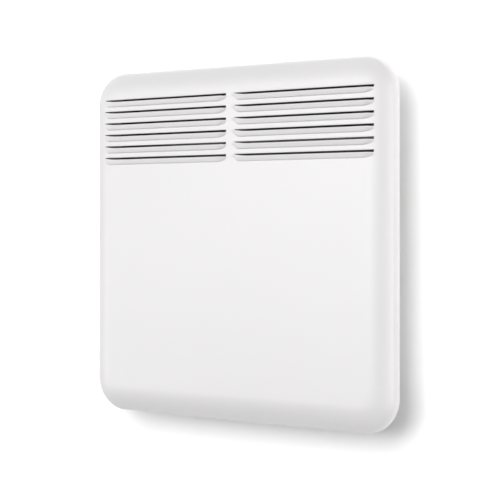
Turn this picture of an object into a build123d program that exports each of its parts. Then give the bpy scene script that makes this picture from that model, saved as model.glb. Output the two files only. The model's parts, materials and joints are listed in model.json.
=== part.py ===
from build123d import *
import math
import os

# Wall panel convector heater: a pressed steel front cover with twelve louvres, a rear casing that
# holds a finned element and its controls, and a wall bracket that the heater lifts off.
#
# Frame: millimetres, +Z up, the front faces -Y, +X to the right seen from the front. The wall is
# the plane Y = 0. The origin is the middle of the wall bracket's four screw holes. "out" is a
# distance from the wall, so out = 80 is the plane Y = -80, which Plane.XZ.offset(80) gives.

os.makedirs("parts", exist_ok=True)

# ---------------------------------------------------------------- driving dimensions
cover_width = 460.0
cover_height = 440.0
cover_corner = 43.5          # corner radius seen from the front
roll_inset = 34.0            # width of the rolled edge, seen from the front
roll_depth = 18.0            # depth of the rolled edge
roll_tight = 10.0            # its radius beside the flank
flank_depth = 4.0            # straight flank behind the roll
cover_sheet = 1.0
lip_width = 9.0              # inward lip at the back of the flank

louvre_rows = 6
louvre_margin = 21.6         # cover's side edge to the flaps
louvre_gap = 11.5            # face left between the two columns
louvre_pitch = 15.0
louvre_from_top = 35.5       # cover's top edge to the first slit
louvre_slit = 3.3            # height of the slit above each flap
louvre_height = 6.4          # height of each flap
louvre_rise = 3.5            # how far a flap stands out of the face
louvre_slope = 5.0           # width of its sloping border
louvre_corner = 6.2
louvre_root = 4.5            # how far its form runs on behind the face

wall_gap = 18.0              # wall to the casing's back
casing_depth = 40.0          # casing's back to the cover's lip
casing_inset = 30.0          # cover's edge to the casing's side
casing_corner = 14.0
casing_sheet = 0.8
brim_inset = 2.0             # cover's edge to the brim's edge
top_screw_from_corner = 46.5  # where a corner's arc starts, to the row's end screw
side_screw_from_corner = 66.5
cover_screw_inset = 4.0      # brim's edge to each screw
cover_screw_r = 1.75
cover_screw_length = 7.0
centre_drop = 60.0           # heater's middle below the bracket's middle

slot_width = 4.0             # air intake slots in the casing's floor
slot_length = 30.0
slot_pitch = 8.0
slots_left_room = 72.0       # casing's side to the first slot's middle
slots_right_room = 32.0
slots_from_back = 5.0

bracket_width = 240.0
bracket_height = 110.0
bracket_corner = 8.0
bracket_sheet = 1.5
bracket_flange = 8.0         # stiffening flange at each end
screw_spacing_x = 200.0
screw_spacing_z = 70.0
wall_hole_r = 3.0
hook_x = 70.0
hook_z = 40.0
hook_width = 20.0
hook_lip = 10.0
hook_gap = 0.3               # casing's back sheet to the hook's lip
lift = 12.0                  # travel that frees the hooks
lift_spare = 0.5
hook_side_gap = 1.0
hook_round = 3.0

screw_head_ratio = 2.0       # head radius over shank radius
screw_head_height = 1.25     # head height over shank radius
recess_span = 1.3            # cross recess, over the head's radius
recess_width = 0.3           # over the head's height
recess_depth = 0.35
sheet_screw_r = 1.5          # screws that hold sheet brackets on the casing
sheet_screw_length = 5.0

screw_gap = 0.1              # hole radius over screw radius
close_gap = 0.05             # radial gap of a piece held in a hole
touch_gap = 0.3              # gap of a formed piece beside another
mould_chamfer = 1.0          # bevel of moulded blocks

element_left_room = 80.0     # casing's side to the fins
element_right_room = 55.0
element_out = 50.0
element_above_floor = 80.0
fin_height = 60.0
fin_depth = 36.0
fin_corner = 6.0
fin_sheet = 1.2
fin_pitch = 6.6
core_r = 8.0
tube_r = 4.0
tube_reach = 32.0            # tube past the fins, each end
tube_round = 0.6
pin_r = 1.8
pin_length = 7.0
bracket_reach = 20.0         # fins to each element bracket
support_sheet = 1.2
support_height = 40.0
support_front = 12.0         # support past the element's axis
support_foot = 16.0
support_screw_z = 12.0       # screws above and below the axis
bush_r = 10.0
bush_neck_r = 7.5
bush_collar = 3.0

shield_gap = 10.0            # beside each element bracket
shield_bottom_gap = 15.0     # above the casing's bottom edge
shield_height = 215.0
shield_stand = 7.2           # in front of the casing's back sheet
shield_sheet = 0.6
shield_foot = 8.0

deflector_sheet = 0.8
deflector_foot = 16.0
deflector_drop = 50.0        # foot's top below the casing's top sheet
deflector_front = 57.0       # out of its front edge
deflector_flange = 12.0

cutout_x = 30.0
cutout_z = 64.0              # arm's underside, above the heater's middle
cutout_arm_width = 18.0
cutout_arm_front = 46.0
cutout_out = 36.0
cutout_cup_r = 8.0
cutout_cup = 5.0
cutout_base_r = 6.0
cutout_base = 10.0
cutout_foot = 18.0
cutout_round = 1.5
cutout_blade_start = 1.0     # cut-out's axis to each blade
cutout_blade_length = 9.0

control_out = 38.0           # middle line of the controls on the left side
bezel_width = 36.0
bezel_top = 62.0             # above the heater's middle
bezel_bottom = -82.0
bezel_sheet = 3.0
bezel_corner = 4.0
bezel_screw_inset = 5.5
bezel_screw_r = 1.45
bezel_screw_length = 8.0

knob_z = 15.0                # above the heater's middle
knob_r = 15.0
knob_height = 14.0
knob_gap = 3.0               # bezel to knob
knob_flutes = 24
flute_r = 1.2
knob_chamfer = 1.2
pointer_width = 1.6
pointer_height = 0.6
pointer_length = 9.0
pointer_reach = 13.5         # knob's axis to the pointer's end
spindle_r = 3.0
spindle_flat = 2.2           # axis to the flat
spindle_in_knob = 10.0
spindle_in_body = 8.0
thermostat_size = 32.0
thermostat_depth = 22.0
thermostat_corner = 3.0
thermostat_blade_inset = 8.0 # its axis to its blades, towards the wall
neck_r = 6.0
neck_proud = 1.5

lamp_z = 44.0
lens_r = 4.8
lens_stem_r = 3.9
lens_stem = 10.0
lens_proud = 2.4
lens_round = 2.0
lamp_holder_r = 5.8
lamp_holder_length = 13.0

rocker_z = (-55.0, -25.0)    # lower and upper switch, from the heater's middle
rocker_half = 9.2
rocker_width = 12.0
rocker_tilt = 8.0
rocker_side_gap = 0.25
rocker_end_gap = 1.1
rocker_pin_r = 1.5
rocker_pin = 1.0
rocker_proud = 1.7           # its ends in front of the housing, when level
rocker_dip = 1.4             # its middle below its ends
rocker_shoulder = 2.0        # pivot to the foot of its end faces
rocker_heel = 3.0            # its back behind the pivot
rocker_heel_half = 5.0
rocker_round = 0.8
housing_wall = 1.4
housing_flange = 1.6
housing_flange_sheet = 1.2
housing_depth = 19.0
housing_floor = 3.0
pivot_depth = 4.5            # behind the flange's front

blade_width = 4.8
blade_sheet = 0.8
blade_length = 8.0
blade_spread = 10.0          # between a switch's two blades

block_from_side = 8.0        # casing's side to the block's end
block_length = 40.0
block_height = 22.0
block_depth = 16.0
block_above_floor = 22.0
block_ways = 3
block_pitch = 12.0
block_screw_r = 2.0

gland_from_side = 25.0
gland_out = 42.0
gland_bore_r = 4.0
gland_neck_r = 7.9
gland_collar_r = 10.0
gland_collar = 12.0
gland_neck = 10.0
gland_round = 3.0
gland_nut_r = 11.0
gland_nut = 5.0

bulb_r = 3.0
bulb_length = 70.0
bulb_from_side = 67.0
bulb_out = 45.0
bulb_above_floor = 13.0
capillary_r = 1.0
capillary_off_axis = 10.0    # thermostat's axis to the tube, away from the wall
capillary_from_block = 9.0   # terminal block's middle to the tube's drop
capillary_clear = 12.0       # step out that clears the switches
capillary_slant = 25.0
capillary_turn = 8.0
clip_shares = (0.2, 0.8)     # places along the bulb
clip_wall = 1.0
clip_width = 3.6
clip_foot = 12.0

wire_r = 1.2
wire_bend = 4.0
wire_stand = 5.2             # in front of the casing's back sheet
loop_reach = 10.0            # a wire's loop past a blade's end
loop_step = 2.0              # the next loop past that one
cutout_loop = 8.0
cutout_lead = 20.0           # cut-out's axis to the end of its straight leads
cutout_slant = 15.0
right_run_gap = 7.0          # element's pin to the wire that comes down to it
right_run_slant = 35.0
live_slant_low = 25.0        # below the lower switch's first blade
live_slant_high = 16.0
neutral_rise = 12.0          # above the terminal block
earth_rise = 8.0
pin_lead = 8.0
saddle_from_side = 94.0
saddle_left_of_cutout = 50.0
saddle_right_of_cutout = 80.0
saddle_r = 2.6
saddle_width = 5.0
saddle_foot = 12.0
saddle_sheet = 1.2

earth_from_block = 14.0
earth_above_floor = 34.0
earth_ring_r = 6.0
earth_screw_r = 2.0
tag_sheet = 1.0
barrel_r = 2.0
barrel_length = 4.0
barrel_rise = 4.6            # screw to the barrel's foot
barrel_sink = 0.4            # barrel into the tag's sheet

spacer_from_side = 30.0
spacer_above_floor = 15.0
spacer_r = 9.0
spacer_peg_r = 3.0
spacer_peg = 4.0

# ---------------------------------------------------------------- derived places
centre_z = -centre_drop
back_out = wall_gap
inner_back_out = back_out + casing_sheet
lip_out = back_out + casing_depth
cover_depth = roll_depth + flank_depth
face_out = lip_out + cover_depth
casing_width = cover_width - 2 * casing_inset
casing_height = cover_height - 2 * casing_inset
floor_z = centre_z - casing_height / 2
inner_floor_z = floor_z + casing_sheet
inner_top_z = centre_z + casing_height / 2 - casing_sheet
left_x = -casing_width / 2
inner_left_x = left_x + casing_sheet
element_z = floor_z + element_above_floor
element_left = left_x + element_left_room
element_right = -left_x - element_right_room
element_length = element_right - element_left
bezel_x = left_x - bezel_sheet
sheet_y = -inner_back_out
louvre_length = (cover_width - louvre_gap) / 2 - louvre_margin
block_x = left_x + block_from_side + block_length / 2
gland_x = left_x + gland_from_side
bulb_left = left_x + bulb_from_side
earth_x = block_x + block_length / 2 + earth_from_block
spacer_x = -left_x - spacer_from_side


def screw(r, shank):
    """A pan head screw on the current plane: its head outwards, its shank behind the plane."""
    head_r = screw_head_ratio * r
    head = screw_head_height * r
    recess = 2 * recess_depth * head
    with BuildPart(mode=Mode.PRIVATE) as piece:
        Cylinder(head_r, head, align=(Align.CENTER, Align.CENTER, Align.MIN))
        fillet(piece.edges().sort_by(Axis.Z)[-1], head / 2.5)
        Cylinder(r, shank, align=(Align.CENTER, Align.CENTER, Align.MAX))
        with Locations((0, 0, head)):
            Box(recess_span * head_r, recess_width * head, recess, mode=Mode.SUBTRACT)
            Box(recess_width * head, recess_span * head_r, recess, mode=Mode.SUBTRACT)
    return piece.part


def tube_along(points, radius, bend):
    """A round tube along straight runs joined by arcs. Each point is X, out, Z."""
    with BuildPart(mode=Mode.PRIVATE) as tube:
        with BuildLine() as route:
            FilletPolyline(*[(x, -out, z) for x, out, z in points], radius=bend)
        path = route.wire()
        with BuildSketch(Plane(origin=path @ 0, z_dir=path % 0)):
            Circle(radius)
        sweep(path=path)
    return tube.part


# ---------------------------------------------------------------- front cover
roll_wide = ((roll_inset ** 2 + roll_depth ** 2 - 2 * roll_inset * roll_tight)
             / (2 * (roll_depth - roll_tight)))
flat_half_x = cover_width / 2 - roll_inset
flat_half_z = cover_height / 2 - roll_inset
corner_x = cover_width / 2 - cover_corner
corner_z = cover_height / 2 - cover_corner


def roll_section(half_size, shrink, back):
    """Section through the rolled edge in a sketch of (distance from the middle, -out)."""
    wide = (half_size - roll_inset, roll_wide - face_out)
    tight = (half_size - roll_tight, roll_depth - face_out)
    turn = math.degrees(math.atan2(tight[1] - wide[1], tight[0] - wide[0]))
    with BuildSketch() as section:
        with BuildLine():
            first = CenterArc(wide, roll_wide - shrink, -90, turn + 90)
            second = CenterArc(tight, roll_tight - shrink, turn, -turn)
            Polyline(second @ 1, ((second @ 1).X, -back), (wide[0], -back), first @ 0)
        make_face()
    return section.sketch


def cover_form(shrink, back):
    """The solid inside the cover's outer surface, or inside the one that lies a sheet deeper."""
    with BuildPart(mode=Mode.PRIVATE) as form:
        with BuildSketch(Plane.XY.offset(centre_z)):
            add(roll_section(cover_width / 2, shrink, back))
        extrude(amount=corner_z)
        with BuildSketch(Plane((corner_x, 0, centre_z), x_dir=(0, 0, 1), z_dir=(-1, 0, 0))):
            add(roll_section(cover_height / 2, shrink, back))
        extrude(amount=corner_x)
        with BuildSketch(Plane.XY.offset(centre_z + corner_z)):
            add(roll_section(cover_width / 2, shrink, back))
        revolve(axis=Axis((corner_x, 0, centre_z + corner_z), (0, -1, 0)), revolution_arc=90)
        mirror(about=Plane.YZ)
        mirror(about=Plane.XY.offset(centre_z))
        with BuildSketch(Plane.XZ.offset(back)):
            with Locations((0, centre_z)):
                RectangleRounded(2 * flat_half_x, 2 * flat_half_z, cover_corner - roll_inset)
        extrude(amount=face_out - shrink - back)
    return form.part


def louvre_form(middle_x, edge_z, sink, over):
    """A flap's outer form, or with sink its inner form, which runs over its top edge."""
    grow = louvre_slope * louvre_root / louvre_rise
    steps = (
        (face_out - louvre_root - sink, grow),
        (face_out + louvre_rise - sink, -louvre_slope),
    )
    with BuildPart(mode=Mode.PRIVATE) as form:
        for out, wider in steps:
            low = edge_z - louvre_height - wider
            with BuildSketch(Plane.XZ.offset(out)):
                with Locations((middle_x, low)):
                    flap = Rectangle(louvre_length + 2 * wider, edge_z + over - low,
                                     align=(Align.CENTER, Align.MIN))
                fillet(flap.vertices().group_by(Axis.Y)[0], louvre_corner + wider)
        loft(ruled=True)
    return form.part


first_edge_z = centre_z + cover_height / 2 - louvre_from_top - louvre_slit
louvre_places = [
    (side * (louvre_gap + louvre_length) / 2, first_edge_z - row * louvre_pitch)
    for side in (-1, 1)
    for row in range(louvre_rows)
]

screw_row_x = cover_width / 2 - brim_inset - cover_screw_inset
screw_row_z = cover_height / 2 - brim_inset - cover_screw_inset
top_screw_x = corner_x - top_screw_from_corner
side_screw_z = corner_z - side_screw_from_corner
cover_screw_places = [(x, centre_z + z) for x in (-top_screw_x, 0, top_screw_x)
                      for z in (-screw_row_z, screw_row_z)]
cover_screw_places += [(x, centre_z + z) for x in (-screw_row_x, screw_row_x)
                       for z in (-side_screw_z, side_screw_z)]

with BuildPart() as front_cover:
    add(cover_form(0, lip_out))
    add([louvre_form(x, z, 0, 0) for x, z in louvre_places])
    add(cover_form(cover_sheet, lip_out + cover_sheet), mode=Mode.SUBTRACT)
    add([louvre_form(x, z, cover_sheet, louvre_slit) for x, z in louvre_places],
        mode=Mode.SUBTRACT)
    with BuildSketch(Plane.XZ.offset(lip_out)):
        with Locations((0, centre_z)):
            RectangleRounded(cover_width - 2 * lip_width, cover_height - 2 * lip_width,
                             cover_corner - lip_width)
    extrude(amount=cover_sheet, mode=Mode.SUBTRACT)
    with BuildSketch(Plane.XZ.offset(lip_out)):
        with Locations(*cover_screw_places):
            Circle(cover_screw_r + close_gap)
    extrude(amount=cover_sheet, mode=Mode.SUBTRACT)
front_cover.part.label = "front_cover"
export_step(front_cover.part, "parts/front_cover.step")

with BuildPart() as cover_screws:
    for x, z in cover_screw_places:
        place = Plane((x, -(lip_out - casing_sheet), z), x_dir=(1, 0, 0), z_dir=(0, 1, 0))
        add(place * screw(cover_screw_r, cover_screw_length))
cover_screws.part.label = "cover_screws"
export_step(cover_screws.part, "parts/cover_screws.step")

# ---------------------------------------------------------------- rear casing
hook_places = [(x, z) for x in (-hook_x, hook_x) for z in (-hook_z, hook_z)]
slot_drop = bracket_sheet + lift + lift_spare
slots_reach = casing_width - slots_left_room - slots_right_room
slot_places = [left_x + slots_left_room + n * slot_pitch
               for n in range(int(slots_reach // slot_pitch) + 1)]
slots_out = back_out + slots_from_back + slot_length / 2
bezel_screw_places = [centre_z + bezel_top - bezel_screw_inset,
                      centre_z + bezel_bottom + bezel_screw_inset]
lamp_place = centre_z + lamp_z
knob_place = centre_z + knob_z
rocker_places = [centre_z + z for z in rocker_z]
housing_half_z = rocker_half + rocker_end_gap + housing_wall
housing_half_y = rocker_width / 2 + rocker_side_gap + housing_wall
spacer_places = [(x, floor_z + spacer_above_floor) for x in (-spacer_x, spacer_x)]
earth_z = floor_z + earth_above_floor
support_places = [
    (element_left - bracket_reach, -1),
    (element_right + bracket_reach, 1),
]
arm_z = centre_z + cutout_z
cutout_screw_place = (cutout_x, arm_z - cutout_foot / 2)
support_screw_places = [
    (x + side * support_foot / 2, element_z + drop)
    for x, side in support_places
    for drop in (-support_screw_z, support_screw_z)
]


def side_holes(spare):
    """Holes and cut-outs for the controls, in a sketch of (Y, Z), as the left side carries them."""
    with BuildSketch() as holes:
        with Locations((-control_out, knob_place)):
            Circle(neck_r + spare)
        with Locations((-control_out, lamp_place)):
            Circle(lens_stem_r + spare)
        with Locations(*[(-control_out, z) for z in rocker_places]):
            Rectangle(2 * (housing_half_y + spare), 2 * (housing_half_z + spare))
        with Locations(*[(-control_out, z) for z in bezel_screw_places]):
            Circle(bezel_screw_r + close_gap)
    return holes.sketch


with BuildPart() as rear_casing:
    with BuildSketch(Plane.XZ.offset(back_out)):
        with Locations((0, centre_z)):
            RectangleRounded(casing_width, casing_height, casing_corner)
    extrude(amount=casing_depth)
    with BuildSketch(Plane.XZ.offset(lip_out - casing_sheet)):
        with Locations((0, centre_z)):
            RectangleRounded(cover_width - 2 * brim_inset, cover_height - 2 * brim_inset,
                             cover_corner - brim_inset)
    extrude(amount=casing_sheet)
    with BuildSketch(Plane.XZ.offset(inner_back_out)):
        with Locations((0, centre_z)):
            RectangleRounded(casing_width - 2 * casing_sheet, casing_height - 2 * casing_sheet,
                             casing_corner - casing_sheet)
    extrude(amount=casing_depth, mode=Mode.SUBTRACT)
    # slots that the wall bracket's hooks pass through, and the holes in the back
    with BuildSketch(Plane.XZ.offset(back_out)):
        for x, z in hook_places:
            with Locations((x, z)):
                Rectangle(hook_width + 2 * hook_side_gap, slot_drop,
                          align=(Align.CENTER, Align.MAX))
        with Locations(*spacer_places):
            Circle(spacer_peg_r + close_gap)
        with Locations(*support_screw_places, cutout_screw_place):
            Circle(sheet_screw_r + close_gap)
        with Locations((earth_x, earth_z)):
            Circle(earth_screw_r + close_gap)
    extrude(amount=casing_sheet, mode=Mode.SUBTRACT)
    # screw holes in the brim
    with BuildSketch(Plane.XZ.offset(lip_out - casing_sheet)):
        with Locations(*cover_screw_places):
            Circle(cover_screw_r + close_gap)
    extrude(amount=casing_sheet, mode=Mode.SUBTRACT)
    # air intake slots and the cable entry in the floor
    with BuildSketch(Plane.XY.offset(floor_z)):
        with Locations(*[(x, -slots_out) for x in slot_places]):
            SlotOverall(slot_length, slot_width, rotation=90)
        with Locations((gland_x, -gland_out)):
            Circle(gland_neck_r + close_gap)
    extrude(amount=casing_sheet, mode=Mode.SUBTRACT)
    with BuildSketch(Plane.YZ.offset(left_x)):
        add(side_holes(close_gap))
    extrude(amount=casing_sheet, mode=Mode.SUBTRACT)
rear_casing.part.label = "rear_casing"
export_step(rear_casing.part, "parts/rear_casing.step")

with BuildPart() as wall_spacers:
    for x, z in spacer_places:
        with BuildSketch(Plane.XZ):
            with Locations((x, z)):
                Circle(spacer_r)
        extrude(amount=back_out)
        with BuildSketch(Plane.XZ.offset(back_out)):
            with Locations((x, z)):
                Circle(spacer_peg_r)
        extrude(amount=spacer_peg)
    chamfer(wall_spacers.edges().filter_by(GeomType.CIRCLE).group_by(Axis.Y)[-1], mould_chamfer)
wall_spacers.part.label = "wall_spacers"
export_step(wall_spacers.part, "parts/wall_spacers.step")

# ---------------------------------------------------------------- wall bracket
hook_front = inner_back_out + hook_gap
with BuildPart() as wall_bracket:
    with BuildSketch(Plane.XZ):
        RectangleRounded(bracket_width, bracket_height, bracket_corner)
        with GridLocations(screw_spacing_x, screw_spacing_z, 2, 2):
            Circle(wall_hole_r, mode=Mode.SUBTRACT)
    extrude(amount=bracket_sheet)
    with BuildSketch(Plane.XZ):
        with Locations((-bracket_width / 2, 0), (bracket_width / 2 - bracket_sheet, 0)):
            Rectangle(bracket_sheet, bracket_height - 2 * bracket_corner,
                      align=(Align.MIN, Align.CENTER))
    extrude(amount=bracket_flange)
    with BuildSketch(Plane.XZ):
        with Locations(*hook_places):
            Rectangle(hook_width, bracket_sheet, align=(Align.CENTER, Align.MAX))
    extrude(amount=hook_front + bracket_sheet)
    with BuildSketch(Plane.XZ.offset(hook_front)):
        with Locations(*[(x, z - bracket_sheet) for x, z in hook_places]):
            Rectangle(hook_width, hook_lip + bracket_sheet, align=(Align.CENTER, Align.MIN))
    extrude(amount=bracket_sheet)
    lip_tops = wall_bracket.edges().filter_by(Axis.Y).filter_by(
        lambda edge: abs(edge.center().Y) > hook_front)
    upper = [edge for edge in lip_tops if min(abs(edge.center().Z - z - hook_lip)
                                              for x, z in hook_places) < 0.01]
    fillet(upper, hook_round)
wall_bracket.part.label = "wall_bracket"
export_step(wall_bracket.part, "parts/wall_bracket.step")

# ---------------------------------------------------------------- element and its supports
fin_count = int((element_length - fin_sheet) // fin_pitch) + 1
fin_places = [(element_left + element_right) / 2 + (n - (fin_count - 1) / 2) * fin_pitch
              for n in range(fin_count)]
with BuildPart() as element_fins:
    with BuildSketch(Plane.YZ.offset(element_left)):
        with Locations((-element_out, element_z)):
            Circle(core_r)
    extrude(amount=element_length)
    for x in fin_places:
        with BuildSketch(Plane.YZ.offset(x - fin_sheet / 2)):
            with Locations((-element_out, element_z)):
                RectangleRounded(fin_depth, fin_height, fin_corner)
        extrude(amount=fin_sheet)
    with BuildSketch(Plane.YZ.offset(element_left)):
        with Locations((-element_out, element_z)):
            Circle(tube_r + close_gap)
    extrude(amount=element_length, mode=Mode.SUBTRACT)
element_fins.part.label = "element_fins"
export_step(element_fins.part, "parts/element_fins.step")

tube_left = element_left - tube_reach
tube_length = element_length + 2 * tube_reach
with BuildPart() as element_tube:
    with BuildSketch(Plane.YZ.offset(tube_left)):
        with Locations((-element_out, element_z)):
            Circle(tube_r)
    extrude(amount=tube_length)
    fillet(element_tube.edges().filter_by(GeomType.CIRCLE), tube_round)
element_tube.part.label = "element_tube"
export_step(element_tube.part, "parts/element_tube.step")

with BuildPart() as element_pins:
    for x in (tube_left - pin_length, tube_left + tube_length):
        with BuildSketch(Plane.YZ.offset(x)):
            with Locations((-element_out, element_z)):
                Circle(pin_r)
        extrude(amount=pin_length)
element_pins.part.label = "element_pins"
export_step(element_pins.part, "parts/element_pins.step")

with BuildPart() as element_bushes:
    for x, side in support_places:
        middle = x + side * support_sheet / 2
        for start, length, radius in (
            (middle - support_sheet / 2 - touch_gap - bush_collar, bush_collar, bush_r),
            (middle - support_sheet / 2 - touch_gap, support_sheet + 2 * touch_gap, bush_neck_r),
            (middle + support_sheet / 2 + touch_gap, bush_collar, bush_r),
        ):
            with BuildSketch(Plane.YZ.offset(start)):
                with Locations((-element_out, element_z)):
                    Circle(radius)
                    Circle(tube_r + close_gap, mode=Mode.SUBTRACT)
            extrude(amount=length)
element_bushes.part.label = "element_bushes"
export_step(element_bushes.part, "parts/element_bushes.step")


def element_support(x, side):
    """An upright sheet with a hole for the bush and a foot on the casing's back."""
    face = Align.MIN if side > 0 else Align.MAX
    with BuildPart(mode=Mode.PRIVATE) as support:
        with BuildSketch(Plane.XZ.offset(inner_back_out)):
            with Locations((x, element_z)):
                Rectangle(support_foot, support_height, align=(face, Align.CENTER))
        extrude(amount=support_sheet)
        with BuildSketch(Plane.XZ.offset(inner_back_out)):
            with Locations((x, element_z)):
                Rectangle(support_sheet, support_height, align=(face, Align.CENTER))
        extrude(amount=element_out + support_front - inner_back_out)
        front = support.edges().filter_by(Axis.X).group_by(Axis.Y)[0]
        fillet(front, support_front / 2)
        with BuildSketch(Plane.YZ.offset(x - support_sheet)):
            with Locations((-element_out, element_z)):
                Circle(bush_neck_r + close_gap)
        extrude(amount=2 * support_sheet, mode=Mode.SUBTRACT)
        with BuildSketch(Plane.XZ.offset(inner_back_out)):
            with Locations(*[place for place in support_screw_places
                             if abs(place[0] - x) < support_foot]):
                Circle(sheet_screw_r + close_gap)
        extrude(amount=support_sheet, mode=Mode.SUBTRACT)
    return support.part


with BuildPart() as element_support_left:
    add(element_support(*support_places[0]))
element_support_left.part.label = "element_support_left"
export_step(element_support_left.part, "parts/element_support_left.step")

with BuildPart() as element_support_right:
    add(element_support(*support_places[1]))
element_support_right.part.label = "element_support_right"
export_step(element_support_right.part, "parts/element_support_right.step")

with BuildPart() as support_screws:
    for x, z in support_screw_places:
        place = Plane.XZ.offset(inner_back_out + support_sheet) * Pos(x, z)
        add(place * screw(sheet_screw_r, sheet_screw_length))
support_screws.part.label = "support_screws"
export_step(support_screws.part, "parts/support_screws.step")

# ---------------------------------------------------------------- heat shield and deflector
shield_out = inner_back_out + shield_stand
shield_floor = floor_z + shield_bottom_gap
shield_left, shield_right = [x - side * shield_gap for x, side in support_places]
with BuildPart() as heat_shield:
    with BuildSketch(Plane.XY.offset(shield_floor)):
        with BuildLine():
            outer = Polyline(
                (shield_left + shield_foot, sheet_y),
                (shield_left, sheet_y),
                (shield_left, -shield_out - shield_sheet),
                (shield_right, -shield_out - shield_sheet),
                (shield_right, sheet_y),
                (shield_right - shield_foot, sheet_y),
            )
            offset(outer, amount=-shield_sheet, side=Side.LEFT, closed=True)
        make_face()
    extrude(amount=shield_height)
heat_shield.part.label = "heat_shield"
export_step(heat_shield.part, "parts/heat_shield.step")

deflector_side = casing_width / 2 - casing_corner
foot_top = inner_top_z - deflector_drop
with BuildPart() as air_deflector:
    with BuildSketch(Plane.YZ.offset(-deflector_side)):
        with BuildLine():
            bent = Polyline(
                (sheet_y, foot_top - deflector_foot),
                (sheet_y, foot_top),
                (deflector_flange - deflector_front, inner_top_z),
                (-deflector_front, inner_top_z),
            )
            offset(bent, amount=-deflector_sheet, side=Side.LEFT, closed=True)
        make_face()
    extrude(amount=2 * deflector_side)
air_deflector.part.label = "air_deflector"
export_step(air_deflector.part, "parts/air_deflector.step")

# ---------------------------------------------------------------- thermal cut-out
with BuildPart() as cutout_bracket:
    with BuildSketch(Plane.XZ.offset(inner_back_out)):
        with Locations((cutout_x, arm_z + support_sheet)):
            Rectangle(cutout_arm_width, cutout_foot, align=(Align.CENTER, Align.MAX))
        with Locations(cutout_screw_place):
            Circle(sheet_screw_r + close_gap, mode=Mode.SUBTRACT)
    extrude(amount=support_sheet)
    with BuildSketch(Plane.XY.offset(arm_z)):
        with Locations((cutout_x, sheet_y)):
            Rectangle(cutout_arm_width, cutout_arm_front - inner_back_out,
                      align=(Align.CENTER, Align.MAX))
        with Locations((cutout_x, -cutout_out)):
            Circle(cutout_base_r + close_gap, mode=Mode.SUBTRACT)
    extrude(amount=support_sheet)
    front = cutout_bracket.edges().filter_by(Axis.Z).group_by(Axis.Y)[0]
    fillet(front, cutout_arm_width / 3)
cutout_bracket.part.label = "cutout_bracket"
export_step(cutout_bracket.part, "parts/cutout_bracket.step")

with BuildPart() as thermal_cutout:
    with BuildSketch(Plane.XY.offset(arm_z - cutout_cup)):
        with Locations((cutout_x, -cutout_out)):
            Circle(cutout_cup_r)
    extrude(amount=cutout_cup)
    fillet(thermal_cutout.edges().group_by(Axis.Z)[0], cutout_round)
    with BuildSketch(Plane.XY.offset(arm_z)):
        with Locations((cutout_x, -cutout_out)):
            Circle(cutout_base_r)
    extrude(amount=cutout_base)
thermal_cutout.part.label = "thermal_cutout"
export_step(thermal_cutout.part, "parts/thermal_cutout.step")

blade_z = arm_z + cutout_base
with BuildPart() as cutout_terminals:
    for side in (-1, 1):
        with BuildSketch(Plane.XY.offset(blade_z)):
            with Locations((cutout_x + side * cutout_blade_start, -cutout_out)):
                Rectangle(cutout_blade_length, blade_width,
                          align=(Align.MIN if side > 0 else Align.MAX, Align.CENTER))
        extrude(amount=blade_sheet)
cutout_terminals.part.label = "cutout_terminals"
export_step(cutout_terminals.part, "parts/cutout_terminals.step")

with BuildPart() as cutout_screw:
    place = Plane.XZ.offset(inner_back_out + support_sheet) * Pos(*cutout_screw_place)
    add(place * screw(sheet_screw_r, sheet_screw_length))
cutout_screw.part.label = "cutout_screw"
export_step(cutout_screw.part, "parts/cutout_screw.step")

# ---------------------------------------------------------------- controls on the left side
bezel_middle = centre_z + (bezel_top + bezel_bottom) / 2
with BuildPart() as control_bezel:
    with BuildSketch(Plane.YZ.offset(left_x)):
        with Locations((-control_out, bezel_middle)):
            RectangleRounded(bezel_width, bezel_top - bezel_bottom, bezel_corner)
    extrude(amount=-bezel_sheet)
    outer_rim = control_bezel.faces().sort_by(Axis.X)[0].edges()
    fillet(outer_rim, bezel_sheet / 3)
    with BuildSketch(Plane.YZ.offset(left_x)):
        add(side_holes(close_gap))
    extrude(amount=-bezel_sheet, mode=Mode.SUBTRACT)
control_bezel.part.label = "control_bezel"
export_step(control_bezel.part, "parts/control_bezel.step")

outward = Plane.YZ.offset(bezel_x)
with BuildPart() as bezel_screws:
    for z in bezel_screw_places:
        place = Plane((bezel_x, -control_out, z), x_dir=(0, 1, 0), z_dir=(-1, 0, 0))
        add(place * screw(bezel_screw_r, bezel_screw_length))
bezel_screws.part.label = "bezel_screws"
export_step(bezel_screws.part, "parts/bezel_screws.step")

with BuildPart() as lamp_lens:
    with BuildSketch(outward):
        with Locations((-control_out, lamp_place)):
            Circle(lens_r)
    extrude(amount=-lens_proud)
    fillet(lamp_lens.edges().sort_by(Axis.X)[0], lens_round)
    with BuildSketch(outward):
        with Locations((-control_out, lamp_place)):
            Circle(lens_stem_r)
    extrude(amount=lens_stem)
lamp_lens.part.label = "lamp_lens"
export_step(lamp_lens.part, "parts/lamp_lens.step")

with BuildPart() as lamp_holder:
    with BuildSketch(Plane.YZ.offset(inner_left_x)):
        with Locations((-control_out, lamp_place)):
            Circle(lamp_holder_r)
    extrude(amount=lamp_holder_length)
    with BuildSketch(Plane.YZ.offset(inner_left_x)):
        with Locations((-control_out, lamp_place)):
            Circle(lens_stem_r + close_gap)
    extrude(amount=lens_stem, mode=Mode.SUBTRACT)
lamp_holder.part.label = "lamp_holder"
export_step(lamp_holder.part, "parts/lamp_holder.step")

pivot_x = bezel_x - housing_flange_sheet + pivot_depth


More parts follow.
